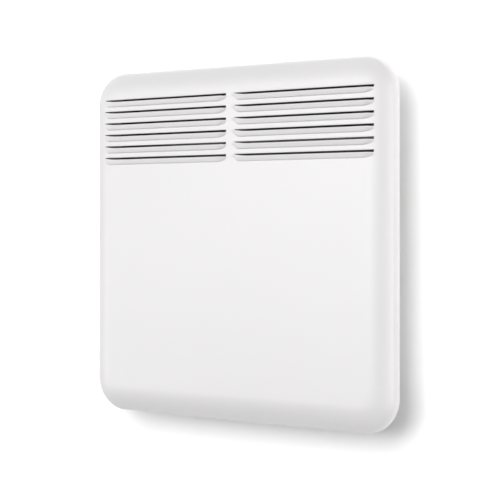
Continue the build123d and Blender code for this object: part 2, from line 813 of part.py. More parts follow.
def switch_housing(z):
    """A rocker switch's housing, snapped in from outside, with holes for the rocker's pins."""
    front_x = bezel_x - housing_flange_sheet
    with BuildPart(mode=Mode.PRIVATE) as housing:
        with BuildSketch(outward):
            with Locations((-control_out, z)):
                Rectangle(2 * (housing_half_y + housing_flange),
                          2 * (housing_half_z + housing_flange))
        extrude(amount=-housing_flange_sheet)
        fillet(housing.faces().sort_by(Axis.X)[0].edges(), housing_flange_sheet / 2)
        with BuildSketch(outward):
            with Locations((-control_out, z)):
                Rectangle(2 * housing_half_y, 2 * housing_half_z)
        extrude(amount=housing_depth)
        with BuildSketch(Plane.YZ.offset(front_x)):
            with Locations((-control_out, z)):
                Rectangle(rocker_width + 2 * rocker_side_gap, 2 * (rocker_half + rocker_end_gap))
        extrude(amount=housing_depth - housing_floor + housing_flange_sheet, mode=Mode.SUBTRACT)
        with BuildSketch(Plane.XZ.offset(control_out)):
            with Locations((pivot_x, z)):
                Circle(rocker_pin_r + close_gap)
        extrude(amount=rocker_width / 2 + rocker_pin + close_gap, both=True, mode=Mode.SUBTRACT)
    return housing.part


def rocker(z):
    """A rocker on its two pins, tilted to its off position."""
    tilt = math.radians(rocker_tilt)
    face = Plane((pivot_x, -control_out, z), x_dir=(-math.cos(tilt), 0, -math.sin(tilt)),
                 z_dir=(0, 1, 0))
    crest = pivot_depth + rocker_proud
    with BuildPart(mode=Mode.PRIVATE) as piece:
        with BuildSketch(face):
            Polygon(
                (-rocker_heel, -rocker_heel_half),
                (rocker_shoulder, -rocker_half),
                (crest, -rocker_half),
                (crest - rocker_dip, 0),
                (crest, rocker_half),
                (rocker_shoulder, rocker_half),
                (-rocker_heel, rocker_heel_half),
                align=None,
            )
        extrude(amount=rocker_width / 2, both=True)
        fillet(piece.edges().filter_by(Axis.Y).sort_by(Axis.X)[:2], rocker_round)
        with BuildSketch(face):
            Circle(rocker_pin_r)
        extrude(amount=rocker_width / 2 + rocker_pin, both=True)
    return piece.part


with BuildPart() as switch_housing_lower:
    add(switch_housing(rocker_places[0]))
switch_housing_lower.part.label = "switch_housing_lower"
export_step(switch_housing_lower.part, "parts/switch_housing_lower.step")

with BuildPart() as switch_housing_upper:
    add(switch_housing(rocker_places[1]))
switch_housing_upper.part.label = "switch_housing_upper"
export_step(switch_housing_upper.part, "parts/switch_housing_upper.step")

with BuildPart() as rocker_lower:
    add(rocker(rocker_places[0]))
rocker_lower.part.label = "rocker_lower"
export_step(rocker_lower.part, "parts/rocker_lower.step")

with BuildPart() as rocker_upper:
    add(rocker(rocker_places[1]))
rocker_upper.part.label = "rocker_upper"
export_step(rocker_upper.part, "parts/rocker_upper.step")

housing_back_x = bezel_x + housing_depth
thermostat_back_x = inner_left_x + thermostat_depth
thermostat_blade_out = control_out - thermostat_blade_inset
capillary_start_out = control_out + capillary_off_axis


def blade(x, out, z):
    """A blade that stands on a face across X, out to the right."""
    with BuildPart(mode=Mode.PRIVATE) as piece:
        with BuildSketch(Plane.YZ.offset(x)):
            with Locations((-out, z)):
                Rectangle(blade_sheet, blade_width)
        extrude(amount=blade_length)
    return piece.part


with BuildPart() as switch_terminals:
    for z in rocker_places:
        add(blade(housing_back_x, control_out, z - blade_spread / 2))
        add(blade(housing_back_x, control_out, z + blade_spread / 2))
switch_terminals.part.label = "switch_terminals"
export_step(switch_terminals.part, "parts/switch_terminals.step")

with BuildPart() as thermostat_terminals:
    add(blade(thermostat_back_x, thermostat_blade_out, knob_place - blade_spread / 2))
    add(blade(thermostat_back_x, thermostat_blade_out, knob_place + blade_spread / 2))
thermostat_terminals.part.label = "thermostat_terminals"
export_step(thermostat_terminals.part, "parts/thermostat_terminals.step")

with BuildPart() as thermostat_body:
    with BuildSketch(Plane.YZ.offset(inner_left_x)):
        with Locations((-control_out, knob_place)):
            RectangleRounded(thermostat_size, thermostat_size, thermostat_corner)
    extrude(amount=thermostat_depth)
    chamfer(thermostat_body.faces().sort_by(Axis.X)[-1].edges(), mould_chamfer)
    with BuildSketch(Plane.YZ.offset(inner_left_x)):
        with Locations((-control_out, knob_place)):
            Circle(neck_r)
    extrude(amount=-(casing_sheet + bezel_sheet + neck_proud))
    with BuildSketch(Plane.YZ.offset(bezel_x - neck_proud)):
        with Locations((-control_out, knob_place)):
            Circle(spindle_r + close_gap)
    extrude(amount=neck_proud + bezel_sheet + casing_sheet + spindle_in_body,
            mode=Mode.SUBTRACT)
thermostat_body.part.label = "thermostat_body"
export_step(thermostat_body.part, "parts/thermostat_body.step")

knob_under_x = bezel_x - knob_gap
knob_top_x = knob_under_x - knob_height


def spindle_outline(spare):
    """The spindle's D section, with spare all round for the hole that takes it."""
    with BuildSketch() as outline:
        Circle(spindle_r + spare)
        with Locations((0, spindle_flat + spare)):
            Rectangle(3 * spindle_r, 2 * spindle_r, align=(Align.CENTER, Align.MIN),
                      mode=Mode.SUBTRACT)
    return outline.sketch


with BuildPart() as thermostat_spindle:
    with BuildSketch(Plane.YZ.offset(knob_under_x - spindle_in_knob)):
        with Locations((-control_out, knob_place)):
            add(spindle_outline(0))
    extrude(amount=spindle_in_knob)
    with BuildSketch(Plane.YZ.offset(knob_under_x)):
        with Locations((-control_out, knob_place)):
            Circle(spindle_r)
    extrude(amount=inner_left_x + spindle_in_body - touch_gap - knob_under_x)
thermostat_spindle.part.label = "thermostat_spindle"
export_step(thermostat_spindle.part, "parts/thermostat_spindle.step")

with BuildPart() as thermostat_knob:
    with BuildSketch(Plane.YZ.offset(knob_under_x)):
        with Locations((-control_out, knob_place)):
            Circle(knob_r)
    extrude(amount=-knob_height)
    chamfer(thermostat_knob.edges().sort_by(Axis.X)[0], knob_chamfer)
    with BuildSketch(Plane.YZ.offset(knob_under_x)):
        with Locations((-control_out, knob_place)):
            with PolarLocations(knob_r + flute_r / 2, knob_flutes,
                                start_angle=90 + 180 / knob_flutes):
                Circle(flute_r)
    extrude(amount=-knob_height, mode=Mode.SUBTRACT)
    with BuildSketch(Plane.YZ.offset(knob_top_x)):
        with Locations((-control_out, knob_place + pointer_reach - pointer_length / 2)):
            SlotOverall(pointer_length, pointer_width, rotation=90)
    extrude(amount=-pointer_height)
    with BuildSketch(Plane.YZ.offset(knob_under_x)):
        with Locations((-control_out, knob_place)):
            add(spindle_outline(close_gap))
    extrude(amount=-spindle_in_knob - touch_gap, mode=Mode.SUBTRACT)
thermostat_knob.part.label = "thermostat_knob"
export_step(thermostat_knob.part, "parts/thermostat_knob.step")

# ---------------------------------------------------------------- sensor
bulb_z = inner_floor_z + bulb_above_floor
bars = [x + slot_pitch / 2 for x in slot_places]
clip_places = [min(bars, key=lambda bar: abs(bar - bulb_left - share * bulb_length))
               for share in clip_shares]
with BuildPart() as sensor_bulb:
    with BuildSketch(Plane.YZ.offset(bulb_left)):
        with Locations((-bulb_out, bulb_z)):
            Circle(bulb_r)
    extrude(amount=bulb_length)
    fillet(sensor_bulb.edges().filter_by(GeomType.CIRCLE), bulb_r * 0.4)
sensor_bulb.part.label = "sensor_bulb"
export_step(sensor_bulb.part, "parts/sensor_bulb.step")

with BuildPart() as bulb_clips:
    for x in clip_places:
        with BuildSketch(Plane.YZ.offset(x - clip_width / 2)):
            with Locations((-bulb_out, bulb_z)):
                Circle(bulb_r + close_gap + clip_wall)
            with Locations((-bulb_out, inner_floor_z)):
                Rectangle(clip_wall, bulb_above_floor, align=(Align.CENTER, Align.MIN))
                Rectangle(clip_foot, clip_wall, align=(Align.CENTER, Align.MIN))
            with Locations((-bulb_out, bulb_z)):
                Circle(bulb_r + close_gap, mode=Mode.SUBTRACT)
        extrude(amount=clip_width)
bulb_clips.part.label = "bulb_clips"
export_step(bulb_clips.part, "parts/bulb_clips.step")

capillary_drop_x = block_x + capillary_from_block
capillary_drop_out = capillary_start_out + capillary_clear
with BuildPart() as capillary_tube:
    add(tube_along([
        (thermostat_back_x, capillary_start_out, knob_place),
        (capillary_drop_x, capillary_start_out, knob_place),
        (capillary_drop_x, capillary_drop_out, knob_place - capillary_slant),
        (capillary_drop_x, capillary_drop_out, bulb_z + capillary_slant),
        (capillary_drop_x + capillary_turn, bulb_out, bulb_z),
        (bulb_left, bulb_out, bulb_z),
    ], capillary_r, wire_bend))
capillary_tube.part.label = "capillary_tube"
export_step(capillary_tube.part, "parts/capillary_tube.step")

# ---------------------------------------------------------------- mains entry
block_floor = inner_floor_z + block_above_floor
block_top = block_floor + block_height
block_front_out = inner_back_out + block_depth
way_places = [block_x + (n - (block_ways - 1) / 2) * block_pitch for n in range(block_ways)]
block_screw_places = [(x, block_floor + block_height / 2 + side * block_height / 4)
                      for x in way_places for side in (-1, 1)]
with BuildPart() as terminal_block:
    with BuildSketch(Plane.XZ.offset(inner_back_out)):
        with Locations((block_x, block_floor)):
            Rectangle(block_length, block_height, align=(Align.CENTER, Align.MIN))
    extrude(amount=block_depth)
    chamfer(terminal_block.faces().sort_by(Axis.Y)[0].edges(), mould_chamfer)
    with BuildSketch(Plane.XZ.offset(block_front_out)):
        with Locations(*block_screw_places):
            Circle(block_screw_r + screw_gap)
    extrude(amount=-block_depth / 2, mode=Mode.SUBTRACT)
terminal_block.part.label = "terminal_block"
export_step(terminal_block.part, "parts/terminal_block.step")

with BuildPart() as terminal_screws:
    with BuildSketch(Plane.XZ.offset(block_front_out - block_depth / 2)):
        with Locations(*block_screw_places):
            Circle(block_screw_r)
    extrude(amount=block_depth / 4)
terminal_screws.part.label = "terminal_screws"
export_step(terminal_screws.part, "parts/terminal_screws.step")

with BuildPart() as cable_gland:
    with BuildSketch(Plane.XY.offset(floor_z)):
        with Locations((gland_x, -gland_out)):
            Circle(gland_collar_r)
    extrude(amount=-gland_collar)
    fillet(cable_gland.edges().group_by(Axis.Z)[0], gland_round)
    with BuildSketch(Plane.XY.offset(floor_z)):
        with Locations((gland_x, -gland_out)):
            Circle(gland_neck_r)
    extrude(amount=gland_neck)
    with BuildSketch(Plane.XY.offset(floor_z - gland_collar)):
        with Locations((gland_x, -gland_out)):
            Circle(gland_bore_r)
    extrude(amount=gland_collar + gland_neck, mode=Mode.SUBTRACT)
cable_gland.part.label = "cable_gland"
export_step(cable_gland.part, "parts/cable_gland.step")

with BuildPart() as gland_nut_ring:
    with BuildSketch(Plane.XY.offset(inner_floor_z)):
        with Locations((gland_x, -gland_out)):
            RegularPolygon(gland_nut_r, 6)
            Circle(gland_neck_r + close_gap, mode=Mode.SUBTRACT)
    extrude(amount=gland_nut)
gland_nut_ring.part.label = "gland_nut"
export_step(gland_nut_ring.part, "parts/gland_nut.step")

# ---------------------------------------------------------------- earth point
barrel_out = inner_back_out + tag_sheet + barrel_r - barrel_sink
barrel_z = earth_z + barrel_rise
with BuildPart() as earth_tag:
    with BuildSketch(Plane.XZ.offset(inner_back_out)):
        with Locations((earth_x, earth_z)):
            Circle(earth_ring_r)
            Circle(earth_screw_r + close_gap, mode=Mode.SUBTRACT)
    extrude(amount=tag_sheet)
    with BuildSketch(Plane.XY.offset(barrel_z)):
        with Locations((earth_x, -barrel_out)):
            Circle(barrel_r)
    extrude(amount=barrel_length)
earth_tag.part.label = "earth_tag"
export_step(earth_tag.part, "parts/earth_tag.step")

with BuildPart() as earth_screw:
    place = Plane.XZ.offset(inner_back_out + tag_sheet) * Pos(earth_x, earth_z)
    add(place * screw(earth_screw_r, sheet_screw_length))
earth_screw.part.label = "earth_screw"
export_step(earth_screw.part, "parts/earth_screw.step")

# ---------------------------------------------------------------- internal wires
wire_out = inner_back_out + wire_stand
wire_z = blade_z + blade_sheet / 2
blade_end_x = housing_back_x + blade_length
loop_x = blade_end_x + loop_reach
next_loop_x = loop_x + loop_step
cutout_blade_end = cutout_blade_start + cutout_blade_length
cutout_back = cutout_lead + cutout_slant
switch_blades = [z + side * blade_spread / 2 for z in rocker_places for side in (-1, 1)]
thermostat_blade_x = thermostat_back_x + blade_length
low_pin_x = tube_left - pin_length
high_pin_x = tube_left + tube_length + pin_length
right_run_x = high_pin_x + right_run_gap

wire_routes = {
    "live_wire": [
        (way_places[0], wire_out, block_top),
        (way_places[0], wire_out, switch_blades[0] - live_slant_low),
        (loop_x, control_out, switch_blades[0] - live_slant_high),
        (loop_x, control_out, switch_blades[0]),
        (blade_end_x, control_out, switch_blades[0]),
    ],
    "switch_wire": [
        (blade_end_x, control_out, switch_blades[1]),
        (loop_x, control_out, switch_blades[1]),
        (loop_x, control_out, switch_blades[2]),
        (blade_end_x, control_out, switch_blades[2]),
    ],
    "thermostat_wire": [
        (blade_end_x, control_out, switch_blades[3]),
        (next_loop_x, control_out, switch_blades[3]),
        (next_loop_x, thermostat_blade_out, knob_place - blade_spread / 2),
        (thermostat_blade_x, thermostat_blade_out, knob_place - blade_spread / 2),
    ],
    "cutout_wire": [
        (thermostat_blade_x, thermostat_blade_out, knob_place + blade_spread / 2),
        (loop_x + cutout_loop, thermostat_blade_out, knob_place + blade_spread / 2),
        (loop_x + 2 * cutout_loop, wire_out, wire_z),
        (cutout_x - cutout_back, wire_out, wire_z),
        (cutout_x - cutout_lead, cutout_out, wire_z),
        (cutout_x - cutout_blade_end, cutout_out, wire_z),
    ],
    "element_wire": [
        (cutout_x + cutout_blade_end, cutout_out, wire_z),
        (cutout_x + cutout_lead, cutout_out, wire_z),
        (cutout_x + cutout_back, wire_out, wire_z),
        (right_run_x, wire_out, wire_z),
        (right_run_x, element_out, wire_z - right_run_slant),
        (right_run_x, element_out, element_z),
        (high_pin_x, element_out, element_z),
    ],
    "neutral_wire": [
        (way_places[1], wire_out, block_top),
        (way_places[1], wire_out, block_top + neutral_rise),
        (low_pin_x - pin_lead, element_out, element_z),
        (low_pin_x, element_out, element_z),
    ],
    "earth_wire": [
        (way_places[2], wire_out, block_top),
        (way_places[2], wire_out, block_top + earth_rise),
        (earth_x, barrel_out, block_top + earth_rise),
        (earth_x, barrel_out, barrel_z + barrel_length),
    ],
}
for name, route in wire_routes.items():
    with BuildPart() as wire:
        add(tube_along(route, wire_r, wire_bend))
    wire.part.label = name
    export_step(wire.part, f"parts/{name}.step")

with BuildPart() as wire_saddles:
    for x in (left_x + saddle_from_side, cutout_x - saddle_left_of_cutout,
              cutout_x + saddle_right_of_cutout):
        with BuildSketch(Plane.YZ.offset(x - saddle_width / 2)):
            with Locations((-wire_out, wire_z)):
                Circle(saddle_r)
            with Locations((sheet_y, wire_z)):
                Rectangle(saddle_sheet, saddle_foot, align=(Align.MAX, Align.CENTER))
                Rectangle(wire_out - inner_back_out, 2 * wire_r, align=(Align.MAX, Align.CENTER))
            with Locations((-wire_out, wire_z)):
                Circle(wire_r + close_gap, mode=Mode.SUBTRACT)
        extrude(amount=saddle_width)
wire_saddles.part.label = "wire_saddles"
export_step(wire_saddles.part, "parts/wire_saddles.step")
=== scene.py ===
"""Wall panel convector heater: its pressed cover, its finishes and its studio, round the
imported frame."""
import json
import math

import bmesh
import bpy
from bpy.props import (
    FloatProperty,
    FloatVectorProperty,
    IntProperty,
    PointerProperty,
)
from mathutils import Matrix, Vector
from mathutils.bvhtree import BVHTree


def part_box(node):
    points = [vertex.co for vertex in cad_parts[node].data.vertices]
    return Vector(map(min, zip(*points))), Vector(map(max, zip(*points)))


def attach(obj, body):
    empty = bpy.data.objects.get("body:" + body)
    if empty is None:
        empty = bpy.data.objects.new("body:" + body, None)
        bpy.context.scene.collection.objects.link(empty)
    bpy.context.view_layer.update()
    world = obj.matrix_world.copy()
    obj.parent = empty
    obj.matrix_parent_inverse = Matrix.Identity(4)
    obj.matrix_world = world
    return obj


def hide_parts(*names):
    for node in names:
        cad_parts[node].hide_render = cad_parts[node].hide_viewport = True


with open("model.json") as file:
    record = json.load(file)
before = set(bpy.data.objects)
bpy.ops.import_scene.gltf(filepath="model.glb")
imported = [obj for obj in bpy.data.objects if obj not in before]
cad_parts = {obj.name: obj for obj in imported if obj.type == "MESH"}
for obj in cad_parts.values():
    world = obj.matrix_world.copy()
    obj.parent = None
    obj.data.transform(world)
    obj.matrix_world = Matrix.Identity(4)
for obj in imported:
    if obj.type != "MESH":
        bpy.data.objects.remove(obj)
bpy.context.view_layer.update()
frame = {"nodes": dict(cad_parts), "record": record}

bl_info = {
    "name": "Wall Panel Heater",
    "version": (1, 0, 0),
    "blender": (4, 5, 0),
    "location": "View3D > Sidebar > Heater",
    "description": "Dresses the frame of a wall panel convector heater",
    "category": "Add Mesh",
}

COVER_LOW, COVER_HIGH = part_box("front_cover")
KNOB_LOW, KNOB_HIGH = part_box("thermostat_knob")

X, Y, Z = range(3)
MIX_FACTOR, MIX_FIRST, MIX_SECOND, MIX_RESULT = 0, 6, 7, 2  # colour sockets of a Mix node

# Powder paint.
SATIN = 0.41          # roughness
PEARL = 0.3           # metallic value, as in the frame's own paint
DARKEST_CLOUD = 0.985

# Pressing of the cover: how near to a line still counts as on it, and how the curl fades.
ON_EDGE, ON_CURL, ON_POINT = 1e-6, 1e-4, 1e-3
CURL_FALL, CURL_END_FALL = 1.3, 4
POINT_CLOSED = 0.85   # share of a slit's height that is closed at its pointed end

# Steps of the cuts in the cover's blank, in metres, and of its bends.
FLAP_STEP, FACE_STEP, ROLL_STEP = 0.0008, 0.012, 0.0022
POINT_STEP, CURL_STEP = 0.003, 0.0005
FOOT_STEP, FOOT_REACH = 0.0003, 0.0015
BELOW_FOOT = (0.0003, 0.0008, 0.0016, 0.003)
LEAST_STEP = 0.00022
CUT_SLACK, WELD = 1e-7, 0.00012
CORNER_STEPS, TIGHT_STEPS, LIP_STEPS = 22, 12, 4

# The printed marks. The scale runs round the knob, in degrees.
BAR_STEPS, RING_STEPS, LETTER_STEPS, LETTER_WELD = 6, 40, 6, 1e-6
LEFT_OF_HEATER = -1.0
SCALE_END, TICK_EVERY = 270, 15
SCALE_NUMBERS = {0: "0", 45: "1", 135: "2", 225: "3"}

# The studio, in metres but for FAR_LIFT, a strength of light.
STUDIO_HALF_WIDTH, STUDIO_TOP, STUDIO_FRONT = 4.0, 3.0, 5.0
COVE, COVE_STEPS = 0.25, 12  # hollow curve between wall and floor
BEHIND_WALL = 0.0004  # keeps the backdrop off the bracket's back
FAR_START, FAR_END, FAR_LIFT = 1.2, 2.4, 0.5  # the wall whitens far to either side
LAMPS_FACE = (0, 0, -0.06)
LAMPS = {             # width, height and place
    "wall_lamp": (1.6, 1.5, (0.48, -2.4, 0.54)),
    "back_lamp": (2.0, 1.5, (0.3, 2.6, 0.6)),
    "key_lamp": (1.8, 1.5, (-0.75, -2.4, 0.35)),
    "right_lamp": (0.5, 1.6, (1.75, -1.25, 0.0)),
    "left_lamp": (0.8, 1.6, (-2.2, -1.2, 0.0)),
}


# ---------------------------------------------------------------- sizes and colours
def amount(name, description, default, **kind):
    """A number that a user may change."""
    return FloatProperty(name=name, description=description, default=default, **kind)


def length(name, description, default):
    """A length in metres that a user may change."""
    return amount(name, description, default, min=0.0, unit="LENGTH", precision=5)


def colour(name, description, default):
    """A colour that a user may change."""
    return FloatVectorProperty(name=name, description=description, default=default,
                               min=0.0, max=1.0, subtype="COLOR")


class CoverSizes(bpy.types.PropertyGroup):
    """Sizes of the pressed front cover. Its width and height are the frame's."""

    corner: length("Corner", "Corner radius seen from the front", 0.0435)
    roll_inset: length("Roll width", "Width of the rolled edge", 0.034)
    roll_depth: length("Roll depth", "Depth of the rolled edge", 0.018)
    roll_tight: length("Tight radius", "Radius of the roll beside the flank", 0.010)
    flank: length("Flank", "Straight flank behind the roll", 0.004)
    sheet: length("Sheet", "Thickness of the steel", 0.001)
    lip: length("Lip", "Width of the lip that turns inwards at the back", 0.009)
    lip_bend: length("Lip bend", "Radius where the flank turns into the lip", 0.0010)


class LouvreSizes(bpy.types.PropertyGroup):
    """Sizes of the pressed louvres, in two columns."""

    rows: IntProperty(name="Rows", description="Louvres in a column", default=6, min=1)
    margin: length("Margin", "Cover's side edge to the flaps", 0.0216)
    gap: length("Gap", "Face left between the two columns", 0.0115)
    pitch: length("Pitch", "Slit to slit", 0.015)
    from_top: length("From top", "Cover's top edge to the first slit", 0.0355)
    slit: length("Slit", "Height of a slit", 0.0030)
    point: length("Point", "Width of the pointed left end of a slit", 0.024)
    height: length("Height", "Height of a flap", 0.0064)
    rise: length("Rise", "How far a flap stands out of the face", 0.0035)
    end_left: length("Left end", "Width of the rounded left end of a flap", 0.0095)
    end_right: length("Right end", "Width of the rounded right end of a flap", 0.0175)
    crease: length("Crease", "Reach of the steep foot round a flap", 0.0006)
    foot: amount("Foot", "Share of the rise that the foot takes", 0.40, min=0.0, max=1.0)
    end_gap: length("End gap", "Flap's end to the slit's end", 0.0005)
    curl: length("Curl", "How far the edge over a slit curls out", 0.0006)
    curl_width: length("Curl width", "Height of that curl", 0.0018)


class CasingSizes(bpy.types.PropertyGroup):
    """The space inside the rear casing, where a dark paint stands in for the shade in there
    (painted shade) instead of the white coat.
    """

    half_width: length("Half width", "Heater's middle to the inside of a side", 0.1995)
    low: amount("Low", "Height of the inside of the bottom", -0.2495, unit="LENGTH")
    high: amount("High", "Height of the inside of the top", 0.1295, unit="LENGTH")
    back: length("Back", "Wall to the inside of the back", 0.0185)
    corner: length("Corner", "Radius of the inside of a corner", 0.0135)


class MarkSizes(bpy.types.PropertyGroup):
    """Sizes of the printed marks on the controls."""

    proud: length("Proud", "How far the print stands out", 0.00012)
    deep: length("Deep", "Thickness of the print", 0.0004)
    tick_radius: length("Tick radius", "Knob's axis to the inner end of a tick", 0.0158)
    tick: length("Tick", "Length of a short tick", 0.0010)
    long_tick: length("Long tick", "Length of a tick beside a number", 0.0017)
    tick_width: length("Tick width", "Width of a tick", 0.0004)
    number_radius: length("Number radius", "Knob's axis to the middle of a number", 0.0205)
    number: length("Number", "Height of the numbers' lettering", 0.0042)
    line: length("Line", "Width of the line on the knob's pointer", 0.0007)
    line_length: length("Line length", "Length of the line on the knob's pointer", 0.0068)
    line_radius: length("Line radius", "Knob's axis to the middle of that line", 0.009)
    switch_mark: length("Switch mark", "Height of the marks on a rocker", 0.0034)
    switch_reach: length("Switch reach", "Rocker's middle to its marks", 0.0050)


class FinishColours(bpy.types.PropertyGroup):
    """Colours of the paints and plastics."""

    cover: colour("Cover", "Powder coat of the front cover", (0.93, 0.916, 0.920))
    casing: colour("Casing", "Powder coat of the casing", (0.87, 0.87, 0.865))
    # The inside colour is painted shade: darker than the real inner finish, so that the casing
    # and the cover read dark through the slits.
    inside: colour("Inside", "Primer inside the cover and the casing", (0.185, 0.188, 0.191))
    bracket: colour("Bracket", "Powder coat of the wall bracket", (0.80, 0.80, 0.79))
    plastic: colour("Control plastic", "Bezel, knob and rockers", (0.77, 0.77, 0.765))
    lamp: colour("Lamp", "Lens of the neon lamp", (0.90, 0.30, 0.04))
    live: colour("Live wire", "Insulation of the live wires", (0.14, 0.055, 0.025))
    neutral: colour("Neutral wire", "Insulation of the neutral wire", (0.02, 0.09, 0.36))
    earth: colour("Earth wire", "Insulation of the earth wire", (0.06, 0.30, 0.05))
    earth_stripe: colour("Earth stripe", "Stripe of the earth wire", (0.78, 0.62, 0.03))


class StudioSettings(bpy.types.PropertyGroup):
    """Camera, lamps, wall and floor."""

    lens: amount("Lens", "Focal length in millimetres", 110.88)
    shift: amount("Shift", "Camera's vertical shift", -0.061)
    turn: amount("Turn", "Camera's turn to the right of the front", math.radians(37.0),
                 subtype="ANGLE")
    eye: FloatVectorProperty(name="Eye", description="Where the camera stands",
                             default=(1.158, -1.5763, -0.031), subtype="TRANSLATION")
    key: amount("Key lamp", "Power of the key lamp", 11.8, unit="POWER")
    right: amount("Right lamp", "Power of the lamp on the right", 5.5, unit="POWER")
    left: amount("Left lamp", "Power of the lamp on the left", 4.0, unit="POWER")
    backdrop: amount("Wall lamp", "Power of the lamp that lights only wall and floor", 54.0,
                     unit="POWER")
    back: amount("Back lamp", "Power of the lamp that lights the back through the wall", 14.5,
                 unit="POWER")
    sky: amount("Sky", "Strength of the light from all round", 0.865)
    wall: colour("Wall", "Paint of the wall", (0.93, 0.93, 0.93))
    ground: colour("Ground", "Paint of the floor", (0.16, 0.16, 0.16))
    top_dim: amount("Dimmer top", "Share of the sky's light that is missing overhead", 0.32)
    bounce: amount("Bounce", "Share of its light that the wall throws on the heater", 0.78)
    lift: amount("Wall lift", "White added where the wall is seen", 0.08)
    floor_lift: amount("Floor lift", "White added where the floor is seen", 0.72)
    floor: amount("Floor", "Height of the floor", -0.85, unit="LENGTH")


# ---------------------------------------------------------------- shader sums
class Number:
    """A shader socket that takes part in sums. Every operator adds one Math node."""

    def __init__(self, nodes, socket):
        self.nodes = nodes
        self.socket = socket

    def math(self, operation, *values):
        return self.nodes.node("ShaderNodeMath", {"operation": operation},
                               dict(enumerate((self, *values))))

    def __add__(self, other):
        return self.math("ADD", other)

    def __radd__(self, other):
        return self + other

    def __sub__(self, other):
        return self.math("SUBTRACT", other)

    def __rsub__(self, other):
        return self * -1.0 + other

    def __mul__(self, other):
        return self.math("MULTIPLY", other)

    def __rmul__(self, other):
        return self * other

    def __lt__(self, other):
        return self.math("LESS_THAN", other)

    def past(self, middle, reach):
        """How much further than a reach it is from a middle, and 0 within that reach."""
        return ((self - middle).math("ABSOLUTE") - reach).math("MAXIMUM", 0.0)

    def between(self, low, high):
        """0 at low, 1 at high, smooth in between."""
        return self.nodes.node("ShaderNodeMapRange", {"interpolation_type": "SMOOTHSTEP"},
                               {"Value": self, "From Min": low, "From Max": high})


class Nodes:
    """A node tree that one method fills."""

    def __init__(self, tree):
        self.tree = tree

    def node(self, kind, settings=None, inputs=None, output=0):
        """A node with its settings and its sockets' values or links. Returns one output."""
        made = self.tree.nodes.new(kind)
        for setting, value in (settings or {}).items():
            setattr(made, setting, value)
        for socket, value in (inputs or {}).items():
            self.feed(made.inputs[socket], value)
        return Number(self, made.outputs[output])

    def feed(self, socket, value):
        """Sets a socket to a value, or links it."""
        if isinstance(value, Number):
            self.tree.links.new(value.socket, socket)
        else:
            socket.default_value = value


FINISHES = {}


class Paint(Nodes):
    """One material, which FINISHES holds by name. Its nodes end in a Principled shader."""

    def __init__(self, name):
        self.material = FINISHES[name] = bpy.data.materials.new(f"{name}_finish")
        self.material.use_nodes = True
        super().__init__(self.material.node_tree)
        self.shader = self.tree.nodes["Principled BSDF"]
        self.place = self.node("ShaderNodeTexCoord", output="Object")

    def stretched(self, scale):
        """The object's coordinates, scaled along X, Y and Z."""
        return self.node("ShaderNodeMapping", None, {"Vector": self.place, "Scale": scale})

    def along(self, axis):
        """The object's coordinate along one axis."""
        return self.node("ShaderNodeSeparateXYZ", None, {"Vector": self.place}, axis)

    def noise(self, scale, detail=2.0, rough=0.5, place=None):
        """Soft noise from 0 to 1, with scale in features per metre."""
        return self.node("ShaderNodeTexNoise", None,
                         {"Vector": place or self.place, "Scale": scale, "Detail": detail,
                          "Roughness": rough})

    def cells(self, scale, feature="F1", output="Distance"):
        """A cell pattern, with scale in cells per metre."""
        return self.node("ShaderNodeTexVoronoi", {"feature": feature},
                         {"Vector": self.place, "Scale": scale}, output)

    def blend(self, amount, first, second):
        """A colour between two."""
        return self.node("ShaderNodeMix", {"data_type": "RGBA"},
                         {MIX_FACTOR: amount, MIX_FIRST: rgba(first),
                          MIX_SECOND: rgba(second)}, MIX_RESULT)

    def within(self, casing):
        """1 in the room inside the casing's rounded outline, and 0 outside it."""
        middle = (casing.high + casing.low) / 2
        half_height = (casing.high - casing.low) / 2
        side = self.along(X).past(0.0, casing.half_width - casing.corner)
        up = self.along(Z).past(middle, half_height - casing.corner)
        outline = side * side + up * up < casing.corner ** 2
        return outline * (self.along(Y) < -casing.back)

    def bump(self, height, depth, strength=1.0):
        """Surface relief, with its depth in metres."""
        return self.node("ShaderNodeBump", None,
                         {"Height": height, "Distance": depth, "Strength": strength})

    def finish(self, **sockets):
        """Feeds the shader's sockets, named with _ for each space."""
        for name, value in sockets.items():
            self.feed(self.shader.inputs[name.replace("_", " ")], value)


def rgba(tone):
    """A colour with its alpha, or a link as it is."""
    if isinstance(tone, Number):
        return tone
    return (*tone, 1.0)


def shade(tone, by):
    """A colour made lighter or darker by a factor."""
    return tuple(min(1.0, value * by) for value in tone)


# ---------------------------------------------------------------- finishes
def powder(paint, tone, peel_scale, rough):
    """What both powder paints share: tone, roughness and the noise of their orange peel."""
    cloud = paint.noise(5.0, detail=3.0)
    peel = paint.noise(peel_scale, rough=0.45)
    coat = paint.blend(cloud.between(0.3, 0.7), shade(tone, DARKEST_CLOUD), tone)
    return coat, rough + 0.05 * cloud + 0.04 * peel, peel


def powder_coat(name, tone, peel=0.00003, peel_scale=420.0, rough=SATIN, pearl=PEARL):
    """Baked powder paint: an even tone, a faint orange peel and a satin, pearly gloss."""
    paint = Paint(name)
    coat, gloss, fine = powder(paint, tone, peel_scale, rough)
    grain = paint.noise(peel_scale * 4.0, detail=1.0)
    paint.finish(
        Base_Color=coat,
        Roughness=gloss,
        Metallic=pearl,
        Normal=paint.bump(fine + 0.25 * grain, peel),
        IOR=1.5,
    )


def coat_with_painted_shade(name, tone, painted_shade_tone, casing):
    """Powder paint outside. Every face inside the casing gets a darker, rougher paint that
    stands in for the shade in there: painted shade.
    """
    paint = Paint(name)
    coat, gloss, fine = powder(paint, tone, 520.0, SATIN)
    # Painted shade: every face inside the casing is darkened as the shade in there would darken
    # it.
    inside = paint.within(casing)
    painted_shade = paint.blend(fine, shade(painted_shade_tone, 0.9), shade(painted_shade_tone, 1.1))
    paint.finish(
        Base_Color=paint.blend(inside, coat, painted_shade),
        Roughness=gloss + 0.15 * inside,
        Metallic=PEARL - PEARL * inside,
        Normal=paint.bump(fine, 0.00006),
    )


